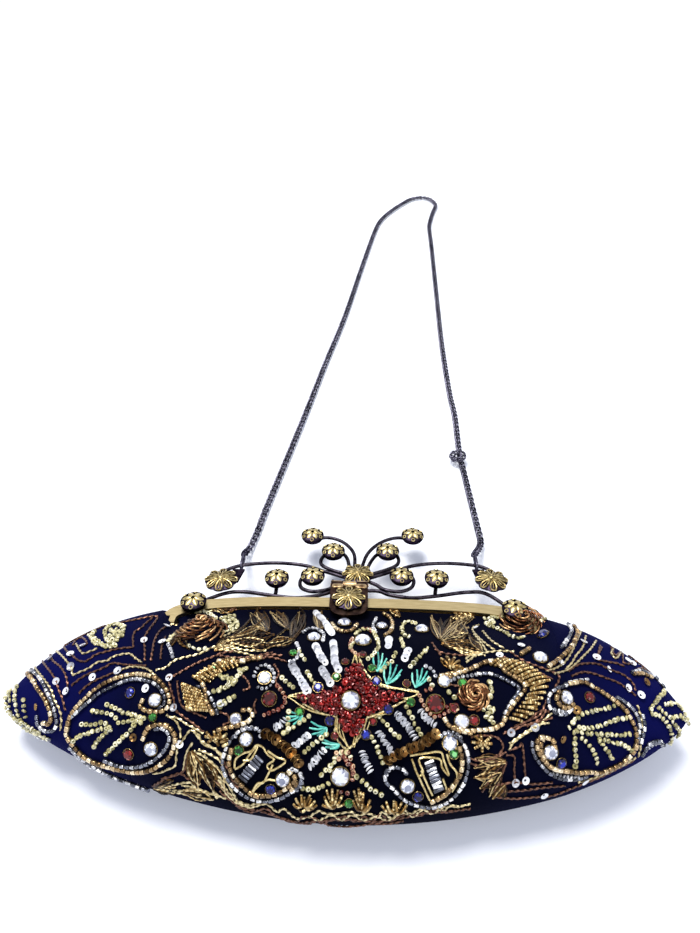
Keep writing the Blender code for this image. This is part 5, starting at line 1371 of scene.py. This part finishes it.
# Stones, each as x, y and half its width in the view's pixels
STONE_SPOTS = {
    "clear": strokes(
        LEFT, (1015, 655, 45, 990, 970, 48),
        MIDDLE,
        (820, 575, 62, 780, 90, 45, 895, 200, 55, 590, 180, 45, 1015, 110, 38, 1265, 130, 45, 280, 430, 45, 1405, 450,
            42, 1520, 700, 45, 165, 810, 45, 395, 1060, 48, 755, 1040, 62, 1440, 835, 50, 1175, 1100, 48, 100, 685, 40),
        RIGHT, (565, 367, 48, 725, 615, 48, 628, 952, 50, 65, 760, 42),
        size=3,
    ),
    "red": strokes(
        LEFT, (845, 1003, 40),
        MIDDLE, (310, 560, 50, 1350, 590, 60, 1170, 465, 26, 960, 700, 26, 720, 790, 26, 895, 285, 26, 785, 330, 26),
        RIGHT, (872, 612, 35, 150, 755, 35, 25, 680, 30),
        size=3,
    ),
    "blue": strokes(
        LEFT, (855, 607, 36),
        MIDDLE, (615, 490, 34, 980, 450, 34, 1055, 625, 34, 690, 695, 34, 915, 780, 34, 320, 1120, 36, 1240, 1165, 36),
        RIGHT, (588, 222, 40, 693, 1020, 36),
        size=3,
    ),
    "green": strokes(
        LEFT, (1000, 765, 30, 1395, 455, 26),
        MIDDLE,
        (955, 370, 30, 730, 425, 30, 500, 640, 30, 1195, 580, 30, 120, 880, 34, 1465, 900, 34, 1520, 465, 30, 810, 1205,
            34, 460, 275, 28),
        RIGHT, (78, 525, 32),
        size=3,
    ),
}


def on_photo(view, points):
    """Points of an enlarged view as pixels of the whole photograph."""
    left, top, enlarged = view
    return [(left + x / enlarged, top + y / enlarged) for x, y in points]


def width_at(view, pixels, spot):
    """What a width in an enlarged view's pixels measures at a spot, in metres."""
    depth = -(AXES.transposed() @ (Vector(spot) - CAMERA_SPOT)).z
    return pixels / view[2] * depth / FOCAL


def on_cloth(view, point):
    """Where a point of an enlarged view meets the cloth, and the cloth's outward direction there."""
    return cast(*on_photo(view, [point])[0])


def axes_on(normal):
    """Axes of something that lies flat on the cloth: across it, up it and away from it."""
    across = unit(np.cross([0, 1, 0], normal))
    return np.stack([across, np.cross(normal, across), normal], axis=-1)


def sewn(name, finish, slot, nodes=(), lines=(), stamps=()):
    """Sewn work: one piece for the middle of the front, and one for the pointed ends, which goes with the bag's body.
    """
    groups = {"": [], "_ends": []}
    for verts, faces in lines:
        groups["_ends" if abs(np.mean(verts[:, 0])) > ARCH_HALF else ""].append((verts, faces))
    for template, spots, turns in stamps:
        spots, turns = np.asarray(spots).reshape(-1, 3), np.asarray(turns).reshape(-1, 3, 3)
        out = np.abs(spots[:, 0]) > ARCH_HALF
        for suffix, chosen in (("_ends", out), ("", ~out)):
            if chosen.any():
                groups[suffix].append(stamp(template, spots[chosen], turns[chosen]))
    for suffix, parts in groups.items():
        if parts:
            made = piece(name + suffix, *joined(parts), finish, math.radians(50))
            settle(made, "bag" if suffix else "bend", slot, *nodes)
            nodes = ()


def rows(lines, step, rise):
    """Places and axes at even steps along strokes."""
    spots, axes = [], []
    for view, points in lines:
        at, normals = stroke(on_photo(view, points), step, rise)
        spots.append(at)
        axes.append(axes_along(at, normals))
    return np.concatenate(spots), np.concatenate(axes)


def cords(lines, step, rise, r, sides, **twisting):
    """Smooth or twisted cords along strokes."""
    return [swept(*stroke(on_photo(view, points), step, rise), r, sides, **twisting) for view, points in lines]


SIZE_SPREAD = 0.06


def tilted(axes, rng, amount, lean=0.0):
    """Axes turned a little at random, and leaning along the row by this angle, each a little larger or smaller."""
    angles = rng.normal(0, amount, (len(axes), 3))
    turned_axes = np.empty_like(axes)
    for k, (x, y, z) in enumerate(angles):
        turn = Matrix.Rotation(lean + y, 3, "Y") @ Matrix.Rotation(x, 3, "X") @ Matrix.Rotation(z, 3, "Z")
        turned_axes[k] = axes[k] @ np.array(turn) * (1 + rng.normal(0, SIZE_SPREAD))
    return turned_axes


def seed_template(width):
    return doughnut(width * 0.28, width * 0.23, 12, 7, 1.1)


def bugle_template(length, width):
    """A short glass tube along the row, with a bevelled rim and an open end."""
    half, r = length / 2, width / 2
    rim = [(0.35, 0.8), (0.4, 1.0), (0.85, 1.0), (1.0, 0.86)]
    profile = [(r * reach, -half * share) for reach, share in rim]
    profile += [(r * reach, half * share) for reach, share in reversed(rim)]
    verts, faces = turned(profile, 8)
    return verts[:, [2, 0, 1]], faces


def sequin_template(r, hole):
    """A cup sequin: a dished disc with a hole."""
    inner = [(hole, 0.0), (r * 0.62, r * 0.10), (r, r * 0.36)]
    outer = [(r * 1.02, r * 0.30), (r * 0.64, r * 0.02), (hole, -r * 0.07)]
    return turned(inner + outer + inner[:1], 18, caps=False)


def stone_template(sides=8):
    """A cut stone of radius one, each facet a face of its own."""
    def ring(r, z, offset=0.0):
        turns = (np.arange(sides) + offset) * 2 * math.pi / sides
        return [(r * math.cos(t), r * math.sin(t), z) for t in turns]

    table, crown, girdle, foot = ring(0.5, 0.62), ring(0.82, 0.42, 0.5), ring(1.0, 0.12), ring(0.98, 0.0)
    facets = [table]
    for k in range(sides):
        n, p = (k + 1) % sides, (k - 1) % sides
        facets += [
            [table[k], crown[k], table[n]], [table[k], crown[p], girdle[k]], [table[k], girdle[k], crown[k]],
            [crown[k], girdle[k], girdle[n]], [girdle[k], foot[k], foot[n], girdle[n]],
        ]
    verts, faces = [], []
    for facet in facets:
        faces.append(tuple(range(len(verts), len(verts) + len(facet))))
        verts += facet
    return np.array(verts), faces


def setting_template():
    """A metal ring round a stone of radius one, with four claws."""
    claw, faces = doughnut(0.0001, 0.13, 8, 6, 1.6)
    turns = np.arange(4) * math.pi / 2 + math.pi / 4
    claws = [(claw + np.array([0.97 * math.cos(t), 0.97 * math.sin(t), 0.16]), faces) for t in turns]
    return joined([doughnut(1.03, 0.07, 24, 6, 1.0)] + claws)


def coil(points, normals, r, pitch=0.00036):
    """A purl: a close coil of fine wire, as a tube with a ridge for each turn."""
    line = even_line(np.concatenate([points, normals], axis=1), pitch / 2)
    ridges = np.where(np.arange(len(line)) % 2 == 0, 1.0, 0.84)
    ridges[0] = ridges[-1] = 0.5
    return swept(line[:, :3], line[:, 3:], r, 8, radii=ridges)


def chip(start, end, low, high, r):
    """A chip of purl from one pixel to another, bowed up from a low end to its middle."""
    (a, normal), (b, _) = cast(*start), cast(*end)
    share = np.linspace(0, 1, 9)[:, None]
    line = a + (b - a) * share + normal * (low + (high - low) * np.sin(math.pi * share))
    return coil(line, np.broadcast_to(normal, line.shape), r)


# Seed beads: name, strokes, then as shares of a bead's width its step, its height above the cloth and its size,
# how far it strays, its tilt, its glass, slot and the pads that it covers
SEED_BEADS = (
    ("cream_seed_beads", CREAM_LINES, 1.07, 0.42, 1.04, 0.00012, 0.45,
     ("cream glass seed beads", ("#5a5630", "#c4bb82", "#fffbe0"), 0.15), "cream seed beads",
     ("left_leaf", "right_leaf")),
    ("crystal_seed_beads", SILVER_SEED_LINES, 0.9, 0.4, 0.85, 0.0, 0.4,
     ("grey crystal seed beads", ("#33343c", "#a2a4ac", "#ffffff"), 0.1, 0.85, 0.3), "clear stones", ()),
    ("copper_seed_beads", COPPER_BEAD_LINES, 0.95, 0.42, 0.93, 0.0, 0.3,
     ("copper lined seed beads", ("#340a08", "#7c2e1c", "#e8c8a0"), 0.15), "gold purl", ()),
)


SEED_LEAN = 0.5


def sew_seed_beads():
    rng = np.random.default_rng(3)
    width = settings().seed_bead
    for name, lines, step, rise, size, strays, tilt, look, slot, nodes in SEED_BEADS:
        spots, axes = rows(lines, width * step, width * rise)
        if strays:
            spots = spots + rng.normal(0, strays, spots.shape)
        beads = seed_template(width * size), spots, tilted(axes, rng, tilt, SEED_LEAN)
        sewn(name, glass(*look), slot, nodes, stamps=[beads])


def inside(outline, px, py):
    """Whether a point is inside a closed outline: an odd number of its sides lie to the point's right."""
    crossed = False
    for (x1, y1), (x2, y2) in zip(outline[-1:] + outline[:-1], outline):
        if (y1 > py) != (y2 > py) and px < (x2 - x1) * (py - y1) / (y2 - y1) + x1:
            crossed = not crossed
    return crossed


STAR_STEP, STAR_ROW_SHARE, STAR_STRAY = 29.0, 0.87, 3
STAR_STONE, STAR_STONE_REACH = (820, 575), 66
# The star's two layers of beads: height above the cloth in bead widths, and the share of places filled
STAR_LAYERS, STAR_BEAD_SHARE, STAR_TILT = ((0.42, 1.0), (1.1, 0.35)), 1.15, 0.6


def sew_star():
    """The red star: beads packed inside its outline, some lying on others."""
    rng = np.random.default_rng(8)
    width = settings().seed_bead
    view, outline = STAR_OUTLINE
    xs, ys = np.array(outline).T
    spots, axes = [], []
    for layer, (rise, keep) in enumerate(STAR_LAYERS):
        for row, y in enumerate(np.arange(ys.min(), ys.max(), STAR_STEP * STAR_ROW_SHARE)):
            start = xs.min() + (row % 2) * STAR_STEP / 2 + layer * STAR_STEP / 3
            for x in np.arange(start, xs.max(), STAR_STEP):
                px, py = x + rng.normal(0, STAR_STRAY), y + rng.normal(0, STAR_STRAY)
                if not inside(outline, px, py) or rng.random() > keep:
                    continue
                if math.hypot(px - STAR_STONE[0], py - STAR_STONE[1]) < STAR_STONE_REACH:
                    continue
                spot, normal = on_cloth(view, (px, py))
                spots.append(spot + normal * width * rise)
                axes.append(axes_on(normal) * (-1, -1, 1))
    look = glass("red glass seed beads", ("#1c0102", "#6c0606", "#b0140f"), 0.2, metallic=0.55)
    beads = seed_template(width * STAR_BEAD_SHARE), spots, tilted(np.array(axes), rng, STAR_TILT)
    sewn("red_star_beads", look, "red seed beads", ("centre_star",), stamps=[beads])


# Bugles: width, height above the cloth, and step as a share of their length. The rungs of the ladders are longer.
GOLD_BUGLE_WIDTH, GOLD_BUGLE_RISE, GOLD_BUGLE_STEP = 0.0019, 0.0009, 1.2
SILVER_BUGLE_WIDTH, SILVER_BUGLE_RISE, SILVER_BUGLE_STEP = 0.0016, 0.0008, 1.22
RUNG_WIDTH, RUNG_RISE, RUNG_STEP, RUNG_SHARE = 0.0013, 0.0009, 0.0014, 1.9
BUGLE_TILT, RUNG_TILT = 0.09, 0.05


def sew_bugles():
    rng = np.random.default_rng(4)
    length = settings().bugle
    spots, axes = rows(GOLD_BUGLE_LINES, length * GOLD_BUGLE_STEP, GOLD_BUGLE_RISE)
    look = metal_thread("gold lined bugles", ("#4c3822", "#b0936a", "#f4e6c6"), 0.25, 0.9)
    beads = bugle_template(length, GOLD_BUGLE_WIDTH), spots, tilted(axes, rng, BUGLE_TILT)
    sewn("gold_bugles", look, "gold purl", ("left_paisley", "right_paisley"), stamps=[beads])
    spots, axes = rows(SILVER_BUGLE_LINES, length * SILVER_BUGLE_STEP, SILVER_BUGLE_RISE)
    stamps = [(bugle_template(length, SILVER_BUGLE_WIDTH), spots, tilted(axes, rng, BUGLE_TILT))]
    for ladder in LADDERS:
        spots, axes = rows([ladder], RUNG_STEP, RUNG_RISE)
        beside = axes[:, :, [1, 0, 2]] * np.array([1, -1, 1])
        stamps.append((bugle_template(length * RUNG_SHARE, RUNG_WIDTH), spots, tilted(beside, rng, RUNG_TILT)))
    look = metal_thread("silver lined bugles", ("#16171f", "#7e8290", "#ffffff"), 0.2, 0.95)
    sewn("silver_bugles", look, "clear stones", stamps=stamps)


# Sequin stacks: strokes, step, height above the cloth, radius, hole, tilt and lean
SILVER_STACKS = (
    (STACK_LINES, 0.00125, 0.0012, 0.0014, 0.0005, 0.2, 1.18),
    (FLAT_STACK_LINES, 0.0017, 0.0008, 0.00155, 0.00055, 0.16, 0.5),
)
GOLD_STACKS = ((GOLD_STACK_LINES, 0.0022, 0.0012, 0.0019, 0.0005, 0.2, 0.7),)
# Single sequins
SEQUIN_R, SEQUIN_HOLE, SEQUIN_RISE, SEQUIN_TILT = 0.0015, 0.00045, 0.0006, 0.2


def sew_sequins():
    rng = np.random.default_rng(5)
    pearl = glass("white pearl sequin film", ("#85868e", "#e6e8ee", "#ffffff"), 0.2, 0.7)
    bronze = metal_thread("bronze sequin film", ("#4a3218", "#c49c62"), 0.25, 0.8)
    for name, look, slot, singles, stacks in (
        ("silver_cup_sequins", pearl, "clear stones", SEQUIN_SPOTS, SILVER_STACKS),
        ("gold_cup_sequins", bronze, "gold purl", GOLD_CUP_SPOTS, GOLD_STACKS),
    ):
        hits = [on_cloth(view, point) for view, points in singles for point in points]
        spots = np.array([spot + normal * SEQUIN_RISE for spot, normal in hits])
        axes = np.array([axes_on(normal) for _, normal in hits])
        stamps = [(sequin_template(SEQUIN_R, SEQUIN_HOLE), spots, tilted(axes, rng, SEQUIN_TILT))]
        for lines, step, rise, r, hole, tilt, lean in stacks:
            spots, axes = rows(lines, step, rise)
            stamps.append((sequin_template(r, hole), spots, tilted(axes, rng, tilt, lean)))
        sewn(name, look, slot, stamps=stamps)


CORD_STEP, CORD_RISE_SHARE, CORD_SIDES = 0.00032, 0.8, 6
CORD_TWIST = {"ply": 2, "twist": 0.0026, "ply_depth": 0.45}


def sew_cords():
    r = settings().couched_cord
    for name, table, colours in (
        ("pale_couched_cord", PALE_CORD_LINES, ("#7c6c44", "#f2e3b6")),
        ("copper_couched_cord", COPPER_CORD_LINES, ("#2e1a18", "#86604e")),
    ):
        lines = cords(table, CORD_STEP, r * CORD_RISE_SHARE, r, CORD_SIDES, **CORD_TWIST)
        look = metal_thread(name.replace("_", " ") + " of gilt thread", colours, 0.38, 0.25)
        sewn(name, look, "gold purl", lines=lines)


# Chips of purl: height of their ends and of their middle above the cloth, and their radius
SINGLE_CHIP, ROW_CHIP = (0.0004, 0.0016, 0.00062), (0.0004, 0.0018, 0.00066)
TUFT_LOW, TUFT_HIGH, TUFT_SPREAD, TUFT_R = 0.0005, 0.0012, 0.0016, 0.00058
CHIP_EDGE_PIXELS = 0.2


def sew_purl():
    rng = np.random.default_rng(6)
    chips = [chip(*on_photo(view, ends), *SINGLE_CHIP) for view, ends in CHIP_LINES]
    for view, points in CHIP_TUFTS:
        foot, *tips = on_photo(view, points)
        chips += [chip(foot, tip, TUFT_LOW, TUFT_HIGH + TUFT_SPREAD * rng.random(), TUFT_R) for tip in tips]
    for count, *edges in zip(CHIP_ROW_COUNTS, CHIP_ROW_FEET, CHIP_ROW_HEADS):
        edges = [even_line(smooth_line(on_photo(*edge), STROKE_PIXELS), CHIP_EDGE_PIXELS) for edge in edges]
        for share in np.linspace(0, 1, count):
            chips.append(chip(*(edge[int(share * (len(edge) - 1))] for edge in edges), *ROW_CHIP))
    gold = metal_thread("gold purl wire", ("#2a190c", "#8c6c3c", "#f4e2ac"), 0.28, 0.85)
    sewn("gold_purl", gold, "gold purl", lines=chips)
    copper = metal_thread("copper purl wire", ("#1e0e09", "#6c4228", "#dcb482"), 0.28, 0.85)
    for view, point, size, node in ROSE_SPOTS:
        sewn(node + "_petals", copper, "gold purl", (node,), lines=rose(*on_cloth(view, point), size, rng))


PETAL_R, PETAL_STRAY, PETAL_BOW, PETAL_CROWN, PETAL_UNEVEN = 0.00046, 0.25, 0.10, 0.0011, 0.0003
# A rose's rings of petals: share of its radius, count, and height for a rose of 10 mm
PETAL_RINGS = (
    (1.0, 12, 0.0006), (0.84, 11, 0.0016), (0.67, 9, 0.0027), (0.50, 8, 0.0037), (0.33, 6, 0.0045), (0.17, 4, 0.0051),
)


def rose(middle, normal, size, rng):
    """Curved petals of purl that wind inward and rise towards the rose's middle."""
    across, up, _ = axes_on(normal).T
    along = np.linspace(0, 1, 10)[:, None]
    bow = np.sin(math.pi * along)
    petals = []
    for share, count, rise in PETAL_RINGS:
        for k in range(count):
            turn = 2 * math.pi * (k + rng.uniform(-PETAL_STRAY, PETAL_STRAY)) / count + along * (0.55 + 0.28 / share)
            reach = size * (share * (1.0 - 0.36 * along) + PETAL_BOW * bow)
            lift = size * 100 * (rise + PETAL_CROWN * bow + PETAL_UNEVEN * rng.normal())
            line = middle + reach * (np.cos(turn) * across + np.sin(turn) * up) + lift * normal
            petals.append(coil(line, np.broadcast_to(normal, line.shape), PETAL_R))
    return petals


THREAD = {"ply": 2, "twist": 0.0022, "ply_depth": 0.4}
THREAD_STEP, THREAD_SIDES = 0.0004, 6
LEAF_BOWS, LEAF_SWAY, LEAF_STRAY = (-0.17, -0.11, -0.04, 0.04, 0.11, 0.17), 0.015, 0.06
LEAF_RISE, LEAF_R = 0.0004, (0.00022, 0.00036)
GILT_RISE, GILT_R, FINE_RISE, FINE_R = 0.0009, 0.00042, 0.0006, 0.0003
# Bronze thread lies in two layers: their height, and how many of the view's pixels a metre of height shifts them
BRONZE_LAYERS, BRONZE_SHIFT, BRONZE_R = (0.0004, 0.0008), 9000, 0.0004


def leaf_threads(a, b, rng):
    """A leaf's threads between two pixels, each bowed a little more than the last."""
    side = np.array([a[1] - b[1], b[0] - a[0]])
    for bow in LEAF_BOWS:
        sway = bow + rng.normal(0, LEAF_SWAY)
        middle = (a + b) / 2 + (b - a) * rng.uniform(-LEAF_STRAY, LEAF_STRAY) + side * sway
        start, stop = a + side * sway * 0.25, b + (a - b) * abs(bow) * 0.7 + side * sway * 0.2
        at, normals = stroke([start, middle, stop], THREAD_STEP, LEAF_RISE + LEAF_RISE * rng.random())
        yield swept(at, normals, rng.uniform(*LEAF_R), THREAD_SIDES, **THREAD)


def sew_threads():
    """Smooth gilt wire in the paisleys, fine thread round the star, and leaves of bronze thread."""
    lines = cords(PURL_WIRE_LINES, THREAD_STEP, GILT_RISE, GILT_R, 7)
    lines += cords(STAR_THREAD_LINES, THREAD_STEP, FINE_RISE, FINE_R, THREAD_SIDES)
    gilt = metal_thread("smooth pale gilt wire", ("#8f7540", "#f0dfa8"), 0.25, 0.2)
    sewn("gilt_wire", gilt, "gold purl", lines=lines)
    rng = np.random.default_rng(9)
    lines = []
    for view, points in LEAF_FANS:
        foot, *tips = (np.array(point) for point in on_photo(view, points))
        for tip in tips:
            lines += leaf_threads(foot, tip, rng)
    for view, points in BRONZE_LINES:
        for lift in BRONZE_LAYERS:
            shift = lift * BRONZE_SHIFT
            shifted = [(view, [(x + shift, y - shift) for x, y in points])]
            lines += cords(shifted, THREAD_STEP, lift, BRONZE_R, THREAD_SIDES, **THREAD)
    bronze = metal_thread("bronze thread", ("#0c0603", "#2a190c", "#6e5028", "#f0d8a0"), 0.3, 0.95)
    sewn("bronze_leaves", bronze, "gold purl", lines=lines)


FLOSS = {"ply": 2, "twist": 0.0024, "ply_depth": 0.25}
# A spray's bow to the side in the photograph's pixels, its height above the cloth, its radius, and the
# shares of that radius at its foot, at 0.6 of its length and at its tip
SPRAY_BOW, SPRAY_RISE, SPRAY_R, SPRAY_SHARES = 1.3, 0.0005, 0.00044, (0.7, 1.0, 0.8)


def sew_sprays():
    lines = []
    for view, points in TURQUOISE_SPRAYS:
        foot, *tips = (np.array(point) for point in on_photo(view, points))
        for tip in tips:
            along = tip - foot
            side = np.array([-along[1], along[0]]) / max(np.linalg.norm(along), 1e-6)
            bend = foot + along * 0.5 + side * SPRAY_BOW * np.sign(along[0])
            at, normals = stroke([foot, bend, tip], THREAD_STEP, SPRAY_RISE)
            radii = np.interp(np.linspace(0, 1, len(at)), (0, 0.6, 1), SPRAY_SHARES)
            lines.append(swept(at, normals, SPRAY_R, 8, radii=radii, **FLOSS))
    sewn("turquoise_sprays", silk_floss(), "beaded navy velvet", lines=lines)


# Stones: colours, which each facet takes at random as painted reflections, share of metal in the foil behind them, slot
# and the CAD stones that they cover
STONE_LOOKS = {
    "clear": (("#5c6484", "#e4e8f4", "#ffffff"), 0.35, "clear stones",
              ("centre_stone", "top_clear_stone", "bottom_clear_stone")),
    "red": (("#160103", "#560609", "#a0141c"), 0.7, "red stones", ("left_red_stone", "right_red_stone")),
    "blue": (("#010214", "#060c58", "#1c34c0"), 0.7, "clear stones", ()),
    "green": (("#021404", "#0c5e18", "#5cc858"), 0.7, "clear stones", ()),
}
STONE_SHARE, STONE_LIFT, STAR_STONE_LIFT = 0.93, 0.0006, 0.0016


def set_stones():
    rng = np.random.default_rng(7)
    all_spots, all_axes = [], []
    for colour, table in STONE_SPOTS.items():
        spots, axes = [], []
        for view, stones in table:
            for x, y, r in stones:
                spot, normal = on_cloth(view, (x, y))
                size = width_at(view, r, spot) * STONE_SHARE
                turn = np.array(Matrix.Rotation(rng.uniform(0, 1), 3, "Z"))
                spots.append(spot + normal * (STAR_STONE_LIFT if (x, y) == STAR_STONE else STONE_LIFT))
                axes.append(axes_on(normal) @ turn * size)
        colours, metallic, slot, nodes = STONE_LOOKS[colour]
        shine = glass_with_painted_facets(f"{colour} cut glass", colours, metallic)
        sewn(f"{colour}_stones", shine, slot, nodes, stamps=[(stone_template(), spots, axes)])
        all_spots += spots
        all_axes += axes
    gilt = metal_thread("gilt claw setting", ("#2e2414", "#a58f5c"), 0.25)
    sewn("stone_settings", gilt, "gold purl", stamps=[(setting_template(), all_spots, all_axes)])


def make_beadwork():
    for sew in (
        sew_seed_beads, sew_star, sew_bugles, sew_sequins, sew_cords, sew_purl, sew_threads, sew_sprays, set_stones,
    ):
        sew()


# ---------------------------------------------------------------- operators, panel and run
class PieceOperator:
    """Shared by the operators: each makes its pieces in execute."""

    bl_options = {"REGISTER", "UNDO"}

    def execute(self, context):
        self.make()
        return {"FINISHED"}


class BAG_OT_stage(PieceOperator, bpy.types.Operator):
    """Adds the camera, the lamps and the table top"""

    bl_idname = "evening_bag.stage"
    bl_label = "Camera, lamps and table"
    make = staticmethod(make_stage)


class BAG_OT_chain(PieceOperator, bpy.types.Operator):
    """Adds the curb chain and its end rings"""

    bl_idname = "evening_bag.chain"
    bl_label = "Chain strap"
    make = staticmethod(make_chain)


class BAG_OT_cloth(PieceOperator, bpy.types.Operator):
    """Adds the velvet front, the satin back and the linings"""

    bl_idname = "evening_bag.cloth"
    bl_label = "Cloth of the bag"
    make = staticmethod(make_cloth)


class BAG_OT_frame(PieceOperator, bpy.types.Operator):
    """Finishes the frame bars, rivets and paper cords"""

    bl_idname = "evening_bag.frame"
    bl_label = "Frame bars"
    make = staticmethod(make_frame)


class BAG_OT_clasp(PieceOperator, bpy.types.Operator):
    """Finishes the clasp and the chain tabs"""

    bl_idname = "evening_bag.clasp"
    bl_label = "Clasp"
    make = staticmethod(make_clasp)


class BAG_OT_butterfly(PieceOperator, bpy.types.Operator):
    """Adds the wire butterfly and the flower caps"""

    bl_idname = "evening_bag.butterfly"
    bl_label = "Wire butterfly and flowers"
    make = staticmethod(make_butterfly)


class BAG_OT_beadwork(PieceOperator, bpy.types.Operator):
    """Sews the beads, sequins, cords, purl and stones on the front"""

    bl_idname = "evening_bag.beadwork"
    bl_label = "Beadwork"
    make = staticmethod(make_beadwork)


class BAG_PT_panel(bpy.types.Panel):
    bl_idname = "BAG_PT_panel"
    bl_label = "Evening Bag"
    bl_space_type = "VIEW_3D"
    bl_region_type = "UI"
    bl_category = "Evening Bag"

    def draw(self, context):
        for name in BagSettings.__annotations__:
            self.layout.prop(settings(), name)
        for operator in OPERATORS:
            self.layout.operator(operator.bl_idname)


OPERATORS = (BAG_OT_stage, BAG_OT_chain, BAG_OT_cloth, BAG_OT_frame, BAG_OT_clasp, BAG_OT_butterfly, BAG_OT_beadwork)


def register():
    for kind in (BagSettings, *OPERATORS, BAG_PT_panel):
        bpy.utils.register_class(kind)
    bpy.types.Scene.evening_bag = PointerProperty(type=BagSettings)


def unregister():
    del bpy.types.Scene.evening_bag
    for kind in reversed((BagSettings, *OPERATORS, BAG_PT_panel)):
        bpy.utils.unregister_class(kind)


def main():
    register()
    for operator in OPERATORS:
        group, name = operator.bl_idname.split(".")
        getattr(getattr(bpy.ops, group), name)()


if __name__ == "__main__":
    main()
